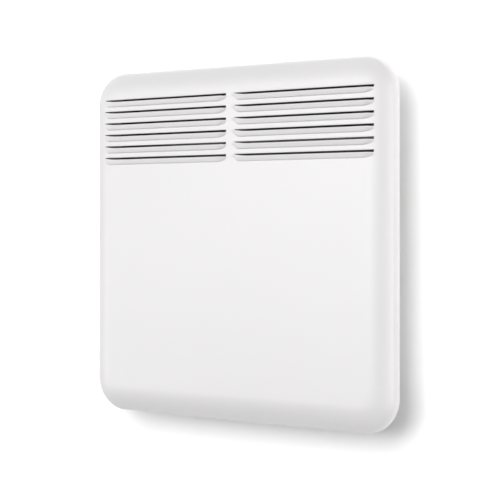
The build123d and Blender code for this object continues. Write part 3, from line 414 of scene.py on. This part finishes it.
def zinc_sheet(name, tone):
    """Galvanised sheet: spangles of slightly different greys."""
    paint = Paint(name)
    spangles = 110.0
    cell = paint.node("ShaderNodeSeparateColor", None,
                      {"Color": paint.cells(spangles, output="Color")})
    edge = paint.cells(spangles, "DISTANCE_TO_EDGE").between(0.0, 0.06)
    haze = paint.noise(28.0, detail=4.0, rough=0.6)
    tone_here = paint.blend(cell * 0.7 + 0.3 * haze, shade(tone, 0.78), shade(tone, 1.12))
    paint.finish(
        Base_Color=tone_here,
        Metallic=1.0,
        Roughness=0.30 + 0.14 * cell + 0.10 * haze,
        Normal=paint.bump(edge + 0.5 * paint.noise(900.0), 0.00002, strength=0.6),
    )


def brushed_metal(name, tone, scale, rough, stain=None, stain_amount=0.0):
    """Rolled, drawn or turned metal: fine streaks along the axis of the smallest scale, and
    soft stains."""
    paint = Paint(name)
    streak = paint.noise(1.0, detail=3.0, rough=0.6, place=paint.stretched(scale))
    patch = paint.noise(55.0, detail=4.0, rough=0.6).between(0.48, 0.72)
    clean = paint.blend(streak, shade(tone, 0.86), shade(tone, 1.08))
    mixed = paint.blend(patch * stain_amount, clean, stain or shade(tone, 0.7))
    paint.finish(
        Base_Color=mixed,
        Metallic=1.0,
        Roughness=rough + 0.16 * streak + 0.10 * patch,
        Normal=paint.bump(streak, 0.00001, strength=0.7),
    )


def cast_metal(name, tone):
    """Die cast aluminium: matt, faintly pitted, with a darker bloom."""
    paint = Paint(name)
    bloom = paint.noise(40.0, detail=5.0, rough=0.6)
    pit = paint.cells(900.0).between(0.0, 0.35)
    paint.finish(
        Base_Color=paint.blend(bloom.between(0.35, 0.7), shade(tone, 0.80), tone),
        Metallic=1.0,
        Roughness=0.42 + 0.18 * bloom,
        Normal=paint.bump(pit * 0.5 + paint.noise(500.0), 0.00003, strength=0.7),
    )


def moulded(name, tone, rough, texture, mottle, texture_scale=900.0):
    """Injection moulded plastic: spark texture and a slight flow in its tone."""
    paint = Paint(name)
    flow = paint.noise(30.0, detail=3.0)
    spark = paint.noise(texture_scale, rough=0.6)
    paint.finish(
        Base_Color=paint.blend(flow, shade(tone, 1.0 - mottle), shade(tone, 1.0 + mottle)),
        Roughness=rough + 0.08 * spark + 0.05 * flow,
        Normal=paint.bump(spark, texture, strength=0.8),
    )


def steatite(name, tone):
    """Unglazed ceramic: chalky, with fine darker specks."""
    paint = Paint(name)
    speck = paint.cells(1600.0).between(0.18, 0.10)
    dust = paint.noise(90.0, detail=4.0)
    paint.finish(
        Base_Color=paint.blend(speck * 0.35, paint.blend(dust, shade(tone, 0.9), tone),
                               shade(tone, 0.5)),
        Roughness=0.72 + 0.12 * dust,
        Normal=paint.bump(paint.noise(700.0, detail=3.0), 0.00004, strength=0.7),
    )


def amber_lens(name, tone):
    """Clear coloured plastic over a neon lamp."""
    paint = Paint(name)
    haze = paint.noise(200.0)
    ribs = paint.node("ShaderNodeTexWave", {"bands_direction": "Z"},
                      {"Vector": paint.place, "Scale": 260.0})
    paint.finish(
        Base_Color=paint.blend(haze, shade(tone, 0.85), shade(tone, 1.1)),
        Roughness=0.08 + 0.06 * haze,
        Normal=paint.bump(ribs, 0.00008, strength=0.6),
        Transmission_Weight=0.55,
        IOR=1.49,
    )


def insulation(name, tone, stripe=None):
    """Silicone wire insulation. A second colour winds round it where it has one."""
    paint = Paint(name)
    cloud = paint.noise(160.0)
    base = paint.blend(cloud, shade(tone, 0.85), shade(tone, 1.15))
    if stripe:
        bands = paint.node("ShaderNodeTexWave", {"bands_direction": "DIAGONAL"},
                           {"Vector": paint.place, "Scale": 45.0}, "Fac")
        base = paint.blend(bands.between(0.60, 0.66), base, stripe)
    paint.finish(
        Base_Color=base,
        Roughness=0.40 + 0.12 * cloud,
        Normal=paint.bump(paint.noise(1200.0), 0.00001, strength=0.7),
    )


def make_finishes():
    """Makes the material of every slot of the record."""
    tones = bpy.context.scene.heater_colours
    powder_coat("cover_white", tones.cover)
    # The cover's inner side takes the dark inside colour: painted shade, so that the slits read
    # dark.
    powder_coat("cover_painted_shade", tones.inside, peel=0.00006, peel_scale=600.0, rough=0.6,
                pearl=0.0)
    # Inside the casing, the dark inside colour is painted shade.
    coat_with_painted_shade("casing_white", tones.casing, tones.inside, bpy.context.scene.heater_casing)
    powder_coat("bracket_steel", tones.bracket, peel=0.00006, peel_scale=480.0, rough=0.42)
    # This tone is darker than bare galvanised sheet: partly its own mid-grey, partly painted
    # shade for the sheets seen through the slits.
    zinc_sheet("zinc_sheet", (0.33, 0.34, 0.345))
    brushed_metal("zinc_steel", (0.66, 0.66, 0.63), scale=(400.0, 400.0, 400.0), rough=0.26,
                  stain=(0.55, 0.50, 0.38), stain_amount=0.35)
    brushed_metal("aluminised_sheet", (0.80, 0.81, 0.82), scale=(700.0, 700.0, 12.0),
                  rough=0.20)
    cast_metal("element_aluminium", (0.62, 0.63, 0.64))
    brushed_metal("tube_steel", (0.50, 0.49, 0.48), scale=(14.0, 900.0, 900.0), rough=0.25,
                  stain=(0.42, 0.30, 0.16), stain_amount=0.6)
    steatite("ceramic", (0.84, 0.81, 0.73))
    moulded("phenolic_black", (0.030, 0.024, 0.020), rough=0.34, texture=0.00003,
            texture_scale=700.0, mottle=0.25)
    brushed_metal("tinned_brass", (0.66, 0.58, 0.36), scale=(200.0, 900.0, 200.0), rough=0.24,
                  stain=(0.60, 0.60, 0.58), stain_amount=0.8)
    moulded("bezel_plastic", tones.plastic, rough=0.46, texture=0.00003,
            texture_scale=1100.0, mottle=0.02)
    moulded("knob_plastic", shade(tones.plastic, 1.05), rough=0.36, texture=0.00001,
            mottle=0.02)
    moulded("rocker_plastic", shade(tones.plastic, 1.07), rough=0.20, texture=0.000005,
            mottle=0.015)
    amber_lens("lamp_amber", tones.lamp)
    moulded("nylon_black", (0.018, 0.018, 0.020), rough=0.40, texture=0.00002,
            texture_scale=800.0, mottle=0.2)
    brushed_metal("copper", (0.72, 0.36, 0.20), scale=(30.0, 300.0, 300.0), rough=0.24,
                  stain=(0.30, 0.15, 0.10), stain_amount=0.6)
    moulded("nylon_natural", (0.78, 0.76, 0.66), rough=0.38, texture=0.00002,
            texture_scale=700.0, mottle=0.05)
    moulded("nylon_grey", (0.33, 0.34, 0.35), rough=0.42, texture=0.00003, mottle=0.06)
    insulation("wire_brown", tones.live)
    insulation("wire_blue", tones.neutral)
    insulation("wire_green", tones.earth, tones.earth_stripe)
    moulded("spacer_rubber", (0.022, 0.022, 0.024), rough=0.62, texture=0.00004,
            texture_scale=600.0, mottle=0.2)


def material(slot):
    """The finish of a slot. They are all made when the first one is asked for."""
    if slot not in FINISHES:
        make_finishes()
    return FINISHES[slot]


SLOTS = {part["node"]: part["material_slot"] for part in frame["record"]["subparts"]}


class Dresser:
    """An operator's share that gives CAD nodes the finish that the record names for them."""

    nodes = ()

    def execute(self, context):
        for name in self.nodes:
            for slot in frame["nodes"][name].material_slots:
                slot.material = material(SLOTS[name])
        return {"FINISHED"}


def make_piece(name, shape, body, slot, smooth=True):
    """An object from a finished bmesh, on its body and with its finish."""
    mesh = bpy.data.meshes.new(name)
    shape.to_mesh(mesh)
    shape.free()
    for face in mesh.polygons:
        face.use_smooth = smooth
    piece = bpy.data.objects.new(name, mesh)
    bpy.context.scene.collection.objects.link(piece)
    mesh.materials.append(material(slot))
    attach(piece, body)
    return piece


# ---------------------------------------------------------------- front cover
class CoverForm:
    """The cover's outer surface as a height over its outline."""

    def __init__(self, cover, louvre):
        self.cover = cover
        self.louvre = louvre
        self.middle = (COVER_LOW + COVER_HIGH) / 2
        self.half_x = (COVER_HIGH.x - COVER_LOW.x) / 2
        self.half_z = (COVER_HIGH.z - COVER_LOW.z) / 2
        self.face = COVER_LOW.y + louvre.rise
        self.wide = ((cover.roll_inset ** 2 + cover.roll_depth ** 2
                      - 2 * cover.roll_inset * cover.roll_tight)
                     / (2 * (cover.roll_depth - cover.roll_tight)))
        self.turn = math.atan2(cover.roll_inset - cover.roll_tight,
                               self.wide - cover.roll_depth)
        self.join_inset = cover.roll_inset - self.wide * math.sin(self.turn)
        self.flap_length = self.half_x - louvre.gap / 2 - louvre.margin
        self.columns = [side * (louvre.gap + self.flap_length) / 2 for side in (-1, 1)]
        self.edges = [self.middle.z + self.half_z - louvre.from_top - louvre.slit
                      - row * louvre.pitch for row in range(louvre.rows)]

    def outward(self, x, z):
        """Distance outside the rounded outline, and the direction that leads away from it."""
        corner = self.cover.corner
        beyond = Vector((abs(x) - self.half_x + corner,
                         abs(z - self.middle.z) - self.half_z + corner))
        if min(beyond) > 0:
            reach = beyond.length
            way = beyond / reach
        else:
            reach = max(beyond)
            way = Vector((1, 0)) if beyond.x > beyond.y else Vector((0, 1))
        way = Vector((math.copysign(way.x, x), math.copysign(way.y, z - self.middle.z)))
        return reach - corner, way

    def roll(self, x, z):
        """How far the wide arc of the roll lies behind the face."""
        past = self.cover.roll_inset + self.outward(x, z)[0]
        if past <= 0:
            return 0.0
        return self.wide - math.sqrt(self.wide ** 2 - past ** 2)

    def inside(self, side, down, end):
        """How far a point of a flap lies inside the flap's rounded outline, in metres."""
        louvre = self.louvre
        straight = (1 - down) * louvre.height
        reach = math.hypot(side, down)
        if side == 0:
            return max(straight, 0)
        if reach >= 1:
            return 0.0
        steep = math.hypot(side / end, down / louvre.height) / reach
        return min(straight, (1 - reach) / steep)

    def press(self, x, z):
        """How far a point of a flap, or of the curl over its slit, stands out of the face."""
        louvre = self.louvre
        half = self.flap_length / 2
        for edge in self.edges:
            for column in self.columns:
                end = louvre.end_left if x < column else louvre.end_right
                side = max(abs(x - column) - (half - end), 0) / end
                if side >= 1:
                    continue
                if edge - louvre.height <= z <= edge + ON_EDGE:
                    down = (edge - z) / louvre.height
                    inside = self.inside(side, down, end)
                    foot = 1 - math.exp(-inside / louvre.crease)
                    return louvre.rise * (louvre.foot * foot
                                          + (1 - louvre.foot) * inside / louvre.height)
                above = (z - edge - louvre.slit) / louvre.curl_width
                if -ON_CURL <= above < 1:
                    return (louvre.curl * (1 - above) ** CURL_FALL
                            * (1 - side ** CURL_END_FALL))
        return 0.0

    def draw_up(self, x, z):
        """How far the top of a flap is drawn up, so that its slit starts as a point."""
        louvre = self.louvre
        start = self.flap_length / 2 - louvre.end_gap
        for edge in self.edges:
            down = (edge - z) / louvre.height
            for column in self.columns:
                along = (x - column + start) / louvre.point
                if -ON_POINT <= down < 1 and -ON_POINT <= along < 1:
                    return POINT_CLOSED * louvre.slit * (1 - along) ** 2 * (1 - down)
        return 0.0

    def in_slit(self, x, z):
        """Whether a point lies in one of the slits."""
        half = self.flap_length / 2 - self.louvre.end_gap
        return (any(abs(x - column) < half for column in self.columns)
                and any(edge < z < edge + self.louvre.slit for edge in self.edges))


def spread(low, high, step):
    """Evenly spaced places from low to high, about a step apart."""
    count = max(1, round((high - low) / step))
    return [low + (high - low) * n / count for n in range(count + 1)]


def cut_lines(form):
    """Where the flat blank is cut across X and across Z, so that every bend has its lines."""
    louvre = form.louvre
    half = form.flap_length / 2
    across_x, across_z = [], []
    for column in form.columns:
        for side, end in ((-1, louvre.end_left), (1, louvre.end_right)):
            across_x.append(column + side * (half - louvre.end_gap))
            across_x += [column + side * (half - step) for step in
                         (*spread(0, end / 3, FLAP_STEP / 2), *spread(end / 3, end, FLAP_STEP))]
        point = column - half + louvre.point
        across_x += spread(column - half + louvre.end_left, point, POINT_STEP)
        across_x += spread(point, column + half - louvre.end_right, FACE_STEP)
    for edge in form.edges:
        foot, top = edge - louvre.height, edge + louvre.slit
        across_z += [edge, top]
        across_z += [*spread(foot, foot + FOOT_REACH, FOOT_STEP),
                     *spread(foot + FOOT_REACH, edge, FLAP_STEP)]
        across_z += [foot - step for step in BELOW_FOOT]
        across_z += spread(top, top + louvre.curl_width, CURL_STEP)
    for inset in spread(form.join_inset, form.cover.roll_inset, ROLL_STEP):
        for side in (-1, 1):
            across_x.append(side * (form.half_x - inset))
            across_z.append(form.middle.z + side * (form.half_z - inset))
    low = form.middle.z - form.half_z + form.cover.roll_inset
    across_z += spread(low, min(form.edges) - louvre.height, FACE_STEP)
    return thinned(across_x), thinned(across_z)


def thinned(places):
    """The places in order, without those that nearly repeat the one before."""
    kept = []
    for place in sorted(places):
        if not kept or place - kept[-1] > LEAST_STEP:
            kept.append(place)
    return kept


def cover_shape(form):
    """The cover's outer skin: a cut blank, its louvres, its rolled edge, flank and lip."""
    cover = form.cover
    shape = bmesh.new()
    bmesh.ops.create_grid(shape, x_segments=1, y_segments=1, size=1.0)
    bmesh.ops.scale(shape, vec=(form.half_x - form.join_inset,
                                form.half_z - form.join_inset, 1.0), verts=shape.verts)
    bmesh.ops.rotate(shape, cent=(0, 0, 0), matrix=Matrix.Rotation(math.pi / 2, 3, "X"),
                     verts=shape.verts)
    bmesh.ops.translate(shape, vec=(form.middle.x, 0, form.middle.z), verts=shape.verts)
    bmesh.ops.bevel(shape, geom=shape.verts[:], offset=cover.corner - form.join_inset,
                    affect="VERTICES", segments=CORNER_STEPS, profile=0.5, material=-1)
    across_x, across_z = cut_lines(form)
    for normal, places in (((1, 0, 0), across_x), ((0, 0, 1), across_z)):
        for place in places:
            bmesh.ops.bisect_plane(shape, geom=shape.verts[:] + shape.edges[:] + shape.faces[:],
                                   dist=CUT_SLACK, plane_co=Vector(normal) * place,
                                   plane_no=normal)
    bmesh.ops.remove_doubles(shape, verts=shape.verts[:], dist=WELD)
    rim = [edge for edge in shape.edges if edge.is_boundary]
    slits = [face for face in shape.faces
             if form.in_slit(face.calc_center_median().x, face.calc_center_median().z)]
    bmesh.ops.delete(shape, geom=slits, context="FACES")
    for vert in shape.verts:
        x, z = vert.co.x, vert.co.z
        vert.co.y = form.face + form.roll(x, z) - form.press(x, z)
        vert.co.z += form.draw_up(x, z)
    for out, deep in edge_steps(form):
        made = bmesh.ops.extrude_edge_only(shape, edges=rim)["geom"]
        rim = [item for item in made if isinstance(item, bmesh.types.BMEdge)]
        for vert in {vert for edge in rim for vert in edge.verts}:
            distance, way = form.outward(vert.co.x, vert.co.z)
            vert.co.x += way.x * (out - distance)
            vert.co.z += way.y * (out - distance)
            vert.co.y = form.face + deep
        rim = [edge for edge in rim if edge.is_boundary]
    bmesh.ops.recalc_face_normals(shape, faces=shape.faces[:])
    return shape


def edge_steps(form):
    """Distance outside the outline and depth behind the face, along the tight arc, the flank,
    the bend and the lip."""
    cover = form.cover
    steps = []
    for n in range(1, TIGHT_STEPS + 1):
        tilt = form.turn + (math.pi / 2 - form.turn) * n / TIGHT_STEPS
        steps.append((cover.roll_tight * (math.sin(tilt) - 1),
                      cover.roll_depth - cover.roll_tight * math.cos(tilt)))
    back = cover.roll_depth + cover.flank
    steps.append((0.0, back - cover.flank / 2))
    for n in range(LIP_STEPS + 1):
        tilt = math.pi / 2 * n / LIP_STEPS
        steps.append((cover.lip_bend * (math.cos(tilt) - 1),
                      back + cover.lip_bend * (math.sin(tilt) - 1)))
    steps += [(-cover.lip / 2, back), (-cover.lip, back)]
    return steps


class HEATER_OT_front_cover(bpy.types.Operator):
    """Presses the front cover from one sheet, with its louvres and rolled edge."""

    bl_idname = "heater.front_cover"
    bl_label = "Front Cover"

    def execute(self, context):
        scene = context.scene
        form = CoverForm(scene.heater_cover, scene.heater_louvres)
        shape = cover_shape(form)
        cover = make_piece("pressed_cover", shape, "heater", "cover_white")
        # The sheet's inner side gets the dark inner paint, which is painted shade behind the
        # slits.
        cover.data.materials.append(material("cover_painted_shade"))
        wall = cover.modifiers.new("Sheet", "SOLIDIFY")
        wall.thickness = scene.heater_cover.sheet
        wall.offset = -1.0
        wall.use_even_offset = True
        wall.material_offset = 1
        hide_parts("front_cover")
        return {"FINISHED"}


# ---------------------------------------------------------------- pieces that the frame gives
class HEATER_OT_casing(Dresser, bpy.types.Operator):
    """Paints the rear casing and its fixings."""

    bl_idname = "heater.casing"
    bl_label = "Rear Casing"
    nodes = ("rear_casing", "cover_screws")


class HEATER_OT_wall_mount(Dresser, bpy.types.Operator):
    """Finishes the wall bracket and the rubber spacers."""

    bl_idname = "heater.wall_mount"
    bl_label = "Wall Mount"
    nodes = ("wall_bracket", "wall_spacers")


class HEATER_OT_element(Dresser, bpy.types.Operator):
    """Finishes the element, its supports and the sheets round it."""

    bl_idname = "heater.element"
    bl_label = "Heating Element"
    nodes = ("element_fins", "element_tube", "element_pins", "element_bushes",
             "element_support_left", "element_support_right", "support_screws", "heat_shield",
             "air_deflector")


class HEATER_OT_controls(Dresser, bpy.types.Operator):
    """Finishes the bezel, the knob, the lamp and the two switches on the left side."""

    bl_idname = "heater.controls"
    bl_label = "Controls"
    nodes = ("control_bezel", "bezel_screws", "lamp_lens", "lamp_holder", "switch_housing_lower",
             "switch_housing_upper", "rocker_lower", "rocker_upper", "switch_terminals",
             "thermostat_body", "thermostat_terminals", "thermostat_spindle", "thermostat_knob")


def flat_bar(wide, tall):
    """A flat bar with its middle at the origin, cut into lengths that follow a surface."""
    shape = bmesh.new()
    bmesh.ops.create_grid(shape, x_segments=1, y_segments=BAR_STEPS, size=0.5)
    bmesh.ops.scale(shape, vec=(wide, tall, 1.0), verts=shape.verts)
    return shape


def flat_ring(inner, outer):
    """A flat ring with its middle at the origin."""
    shape = bmesh.new()
    for radius in (inner, outer):
        bmesh.ops.create_circle(shape, cap_ends=False, radius=radius, segments=RING_STEPS)
    bmesh.ops.bridge_loops(shape, edges=shape.edges[:])
    return shape


def flat_number(text, tall):
    """Flat lettering with its middle at the origin."""
    curve = bpy.data.curves.new("lettering", "FONT")
    curve.body = text
    curve.size = tall
    curve.align_x = "CENTER"
    curve.align_y = "CENTER"
    curve.resolution_u = LETTER_STEPS
    stand = bpy.data.objects.new("lettering", curve)
    bpy.context.scene.collection.objects.link(stand)
    mesh = bpy.data.meshes.new_from_object(stand)
    shape = bmesh.new()
    shape.from_mesh(mesh)
    bpy.data.objects.remove(stand)
    bpy.data.curves.remove(curve)
    bpy.data.meshes.remove(mesh)
    bmesh.ops.remove_doubles(shape, verts=shape.verts[:], dist=LETTER_WELD)
    return shape


def gather(whole, shape, y, z, turn=0.0):
    """Turns a flat shape to face left, puts it left of a place and adds it to the whole."""
    facing_left = Matrix(((0, 0, -1), (-1, 0, 0), (0, 1, 0))).to_4x4()
    place = (Matrix.Translation((LEFT_OF_HEATER, y, z)) @ facing_left
             @ Matrix.Rotation(-turn, 4, "Z"))
    bmesh.ops.transform(shape, matrix=place, verts=shape.verts)
    mesh = bpy.data.meshes.new("mark")
    shape.to_mesh(mesh)
    shape.free()
    whole.from_mesh(mesh)
    bpy.data.meshes.remove(mesh)


def print_marks(name, shape, node, body, sizes):
    """Lays flat marks on a CAD node from the left, and gives them their thickness."""
    bmesh.ops.recalc_face_normals(shape, faces=shape.faces[:])
    bmesh.ops.reverse_faces(shape, faces=[face for face in shape.faces if face.normal.x > 0])
    under = frame["nodes"][node].data
    surface = BVHTree.FromPolygons([vert.co for vert in under.vertices],
                                   [face.vertices for face in under.polygons])
    for vert in shape.verts:
        vert.co.x = surface.ray_cast(vert.co, Vector((1, 0, 0)))[0].x - sizes.proud
    made = bmesh.ops.extrude_face_region(shape, geom=shape.faces[:], use_keep_orig=True)["geom"]
    bmesh.ops.translate(shape, vec=(sizes.deep, 0, 0),
                        verts=[item for item in made if isinstance(item, bmesh.types.BMVert)])
    bmesh.ops.recalc_face_normals(shape, faces=shape.faces[:])
    make_piece(name, shape, body, "nylon_black", smooth=False)


class HEATER_OT_marks(bpy.types.Operator):
    """Prints the scale round the knob, the line on its pointer and the marks of the switches."""

    bl_idname = "heater.marks"
    bl_label = "Control Marks"

    def execute(self, context):
        sizes = context.scene.heater_marks
        knob = (KNOB_LOW + KNOB_HIGH) / 2
        scale = bmesh.new()
        for degrees in range(0, SCALE_END + 1, TICK_EVERY):
            turn = math.radians(degrees)
            tall = sizes.long_tick if degrees in SCALE_NUMBERS else sizes.tick
            reach = sizes.tick_radius + tall / 2
            gather(scale, flat_bar(sizes.tick_width, tall), knob.y - reach * math.sin(turn),
                   knob.z + reach * math.cos(turn), turn)
            if degrees in SCALE_NUMBERS:
                reach = sizes.number_radius
                gather(scale, flat_number(SCALE_NUMBERS[degrees], sizes.number),
                       knob.y - reach * math.sin(turn), knob.z + reach * math.cos(turn))
        print_marks("scale_marks", scale, "control_bezel", "heater", sizes)
        pointer = bmesh.new()
        gather(pointer, flat_bar(sizes.line, sizes.line_length), knob.y,
               knob.z + sizes.line_radius)
        print_marks("pointer_line", pointer, "thermostat_knob", "knob", sizes)
        tall = sizes.switch_mark
        bar, ring = tall / 6, tall / 7
        for which in ("lower", "upper"):
            low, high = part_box(f"rocker_{which}")
            middle = (low + high) / 2
            marks = bmesh.new()
            gather(marks, flat_bar(bar, tall), middle.y, middle.z + sizes.switch_reach)
            gather(marks, flat_ring(tall / 2 - ring, tall / 2), middle.y,
                   middle.z - sizes.switch_reach)
            print_marks(f"{which}_switch_marks", marks, f"rocker_{which}", f"{which}_switch",
                        sizes)
        return {"FINISHED"}


class HEATER_OT_sensors(Dresser, bpy.types.Operator):
    """Finishes the sensor bulb, its capillary and clips, and the thermal cut-out."""

    bl_idname = "heater.sensors"
    bl_label = "Sensors"
    nodes = ("sensor_bulb", "bulb_clips", "capillary_tube", "thermal_cutout", "cutout_bracket",
             "cutout_terminals", "cutout_screw")


class HEATER_OT_wiring(Dresser, bpy.types.Operator):
    """Finishes the mains entry, the earth point and the wires."""

    bl_idname = "heater.wiring"
    bl_label = "Wiring"
    nodes = ("terminal_block", "terminal_screws", "cable_gland", "gland_nut", "earth_tag",
             "earth_screw", "live_wire", "switch_wire", "thermostat_wire", "cutout_wire",
             "element_wire", "neutral_wire", "earth_wire", "wire_saddles")


# ---------------------------------------------------------------- stage
def place_lamp(name, power):
    """A rectangular area lamp that faces the heater."""
    lamp = bpy.data.lights.new(name, "AREA")
    lamp.shape = "RECTANGLE"
    lamp.energy = power
    lamp.size, lamp.size_y, spot = LAMPS[name]
    stand = bpy.data.objects.new(name, lamp)
    bpy.context.scene.collection.objects.link(stand)
    stand.location = spot
    facing = Vector(LAMPS_FACE) - Vector(spot)
    stand.rotation_euler = facing.to_track_quat("-Z", "Y").to_euler()
    stand.visible_camera = False
    return stand


def linked(name, state, *pieces):
    """A light linking collection that includes or excludes its pieces."""
    group = bpy.data.collections.new(name)
    for piece in pieces:
        group.objects.link(piece)
    for held in group.collection_objects:
        held.light_linking.link_state = state
    return group


def place_lamps(studio, backdrop):
    """The lamps: one for the wall and floor alone, one behind the wall that spares the cover,
    and three for the heater alone."""
    wall_lamp = place_lamp("wall_lamp", studio.backdrop)
    back_lamp = place_lamp("back_lamp", studio.back)
    front_lamps = [place_lamp("key_lamp", studio.key), place_lamp("right_lamp", studio.right),
                   place_lamp("left_lamp", studio.left)]
    wall_lamp.light_linking.receiver_collection = linked("only_wall", "INCLUDE", backdrop)
    past_wall = linked("past_wall", "EXCLUDE", backdrop)
    for lamp in front_lamps:
        lamp.light_linking.receiver_collection = past_wall
    back_lamp.light_linking.blocker_collection = past_wall
    back_lamp.light_linking.receiver_collection = linked(
        "past_cover", "EXCLUDE", backdrop, bpy.data.objects["pressed_cover"])


def studio_shape(floor):
    """A wall that runs down into the floor through a hollow curve, facing the room."""
    shape = bmesh.new()
    line = [shape.verts.new((side * STUDIO_HALF_WIDTH, BEHIND_WALL, floor + COVE))
            for side in (-1, 1)]
    start = shape.edges.new(line)
    curve = bmesh.ops.spin(shape, geom=[start, *line],
                           cent=(0, BEHIND_WALL - COVE, floor + COVE), axis=(1, 0, 0),
                           dvec=(0, 0, 0), angle=-math.pi / 2, steps=COVE_STEPS,
                           use_merge=False)
    end = [item for item in curve["geom_last"] if isinstance(item, bmesh.types.BMEdge)]
    for edges, way in (([start], (0, 0, STUDIO_TOP - floor - COVE)),
                       (end, (0, -STUDIO_FRONT, 0))):
        made = bmesh.ops.extrude_edge_only(shape, edges=edges)["geom"]
        verts = [item for item in made if isinstance(item, bmesh.types.BMVert)]
        bmesh.ops.translate(shape, vec=way, verts=verts)
    bmesh.ops.recalc_face_normals(shape, faces=shape.faces[:])
    tallest = max(shape.faces, key=lambda face: face.calc_center_median().z)
    if tallest.normal.y > 0:
        bmesh.ops.reverse_faces(shape, faces=shape.faces[:])
    return shape


def studio_paint(studio):
    """Pale paint that takes the shadow, is lifted to white where it is seen, and lets the
    camera look through it from behind."""
    paint = Paint("studio")
    height = paint.along(Z).between(studio.floor, studio.floor + COVE)
    seen = sum((paint.node("ShaderNodeLightPath", output=f"Is {ray} Ray")
                for ray in ("Camera", "Glossy", "Transmission")), 0)
    bright = paint.blend(height, studio.ground, studio.wall)
    dim = paint.blend(height, shade(studio.ground, studio.bounce),
                      shade(studio.wall, studio.bounce))
    paint.finish(Base_Color=paint.blend(seen, dim, bright), Roughness=1.0,
                 Specular_IOR_Level=0.0)
    far = paint.along(X).past(0.0, 0.0).between(FAR_START, FAR_END)
    lift = height * studio.lift + (1 - height) * studio.floor_lift + far * FAR_LIFT
    glow = paint.node("ShaderNodeEmission", None,
                      {"Color": (1, 1, 1, 1), "Strength": seen * lift})
    both = paint.node("ShaderNodeAddShader", None,
                      {0: Number(paint, paint.shader.outputs[0]), 1: glow})
    clear = paint.node("ShaderNodeBsdfTransparent")
    back = paint.node("ShaderNodeNewGeometry", output="Backfacing")
    shown = paint.node("ShaderNodeMixShader", None, {0: back, 1: both, 2: clear})
    paint.feed(paint.tree.nodes["Material Output"].inputs["Surface"], shown)
    return paint.material


def light_sky(studio):
    """Even light from all round, a little dimmer overhead, which the camera sees as white."""
    world = bpy.data.worlds.new("studio_sky")
    bpy.context.scene.world = world
    world.use_nodes = True
    sky = Nodes(world.node_tree)
    way = sky.node("ShaderNodeTexCoord", output="Generated")
    above = sky.node("ShaderNodeSeparateXYZ", None, {"Vector": way}, "Z").between(0.0, 1.0)
    light = world.node_tree.nodes["Background"]
    sky.feed(light.inputs["Color"], (1, 1, 1, 1))
    sky.feed(light.inputs["Strength"], studio.sky * (1 - studio.top_dim * above))
    white = sky.node("ShaderNodeBackground", None, {"Color": (1, 1, 1, 1), "Strength": 1.0})
    seen = sky.node("ShaderNodeLightPath", output="Is Camera Ray")
    shown = sky.node("ShaderNodeMixShader", None,
                     {0: seen, 1: Number(sky, light.outputs[0]), 2: white})
    sky.feed(world.node_tree.nodes["World Output"].inputs["Surface"], shown)


def place_camera(scene, studio):
    """A level camera that is shifted instead of tilted."""
    camera = bpy.data.cameras.new("camera")
    camera.sensor_width = 36.0
    camera.lens = studio.lens
    camera.shift_y = studio.shift
    tripod = bpy.data.objects.new("camera", camera)
    scene.collection.objects.link(tripod)
    tripod.location = studio.eye
    tripod.rotation_euler = (math.pi / 2, 0, studio.turn)
    scene.camera = tripod


def place_backdrop(scene, studio):
    """The wall and floor, in one piece."""
    mesh = bpy.data.meshes.new("studio")
    shape = studio_shape(studio.floor)
    shape.to_mesh(mesh)
    shape.free()
    for face in mesh.polygons:
        face.use_smooth = True
    backdrop = bpy.data.objects.new("studio", mesh)
    scene.collection.objects.link(backdrop)
    mesh.materials.append(studio_paint(studio))
    return backdrop


class HEATER_OT_stage(bpy.types.Operator):
    """Sets the camera, the wall and floor, and the soft lamps. Needs the front cover."""

    bl_idname = "heater.stage"
    bl_label = "Stage"

    def execute(self, context):
        scene = context.scene
        studio = scene.heater_studio
        scene.view_settings.view_transform = "Standard"
        place_camera(scene, studio)
        place_lamps(studio, place_backdrop(scene, studio))
        light_sky(studio)
        return {"FINISHED"}


# ---------------------------------------------------------------- add-on
class HEATER_PT_panel(bpy.types.Panel):
    """The heater's operators and sizes."""

    bl_idname = "HEATER_PT_panel"
    bl_label = "Wall Panel Heater"
    bl_space_type = "VIEW_3D"
    bl_region_type = "UI"
    bl_category = "Heater"

    def draw(self, context):
        for operator in OPERATORS:
            self.layout.operator(operator.bl_idname)
        for name in SETTINGS:
            group = getattr(context.scene, name)
            box = self.layout.box()
            for setting in group.__annotations__:
                box.prop(group, setting)


SETTINGS = {
    "heater_cover": CoverSizes,
    "heater_louvres": LouvreSizes,
    "heater_casing": CasingSizes,
    "heater_marks": MarkSizes,
    "heater_colours": FinishColours,
    "heater_studio": StudioSettings,
}
OPERATORS = (
    HEATER_OT_front_cover,
    HEATER_OT_casing,
    HEATER_OT_wall_mount,
    HEATER_OT_element,
    HEATER_OT_controls,
    HEATER_OT_marks,
    HEATER_OT_sensors,
    HEATER_OT_wiring,
    HEATER_OT_stage,
)


def register():
    """Registers the settings, operators and panel."""
    for group in (*SETTINGS.values(), *OPERATORS, HEATER_PT_panel):
        bpy.utils.register_class(group)
    for name, group in SETTINGS.items():
        setattr(bpy.types.Scene, name, PointerProperty(type=group))


def unregister():
    """Takes the settings, operators and panel away again."""
    for name in SETTINGS:
        delattr(bpy.types.Scene, name)
    for group in (HEATER_PT_panel, *reversed(OPERATORS), *SETTINGS.values()):
        bpy.utils.unregister_class(group)


def main():
    """Makes every piece in order."""
    register()
    for operator in OPERATORS:
        area, name = operator.bl_idname.split(".")
        getattr(getattr(bpy.ops, area), name)()


if __name__ == "__main__":
    main()
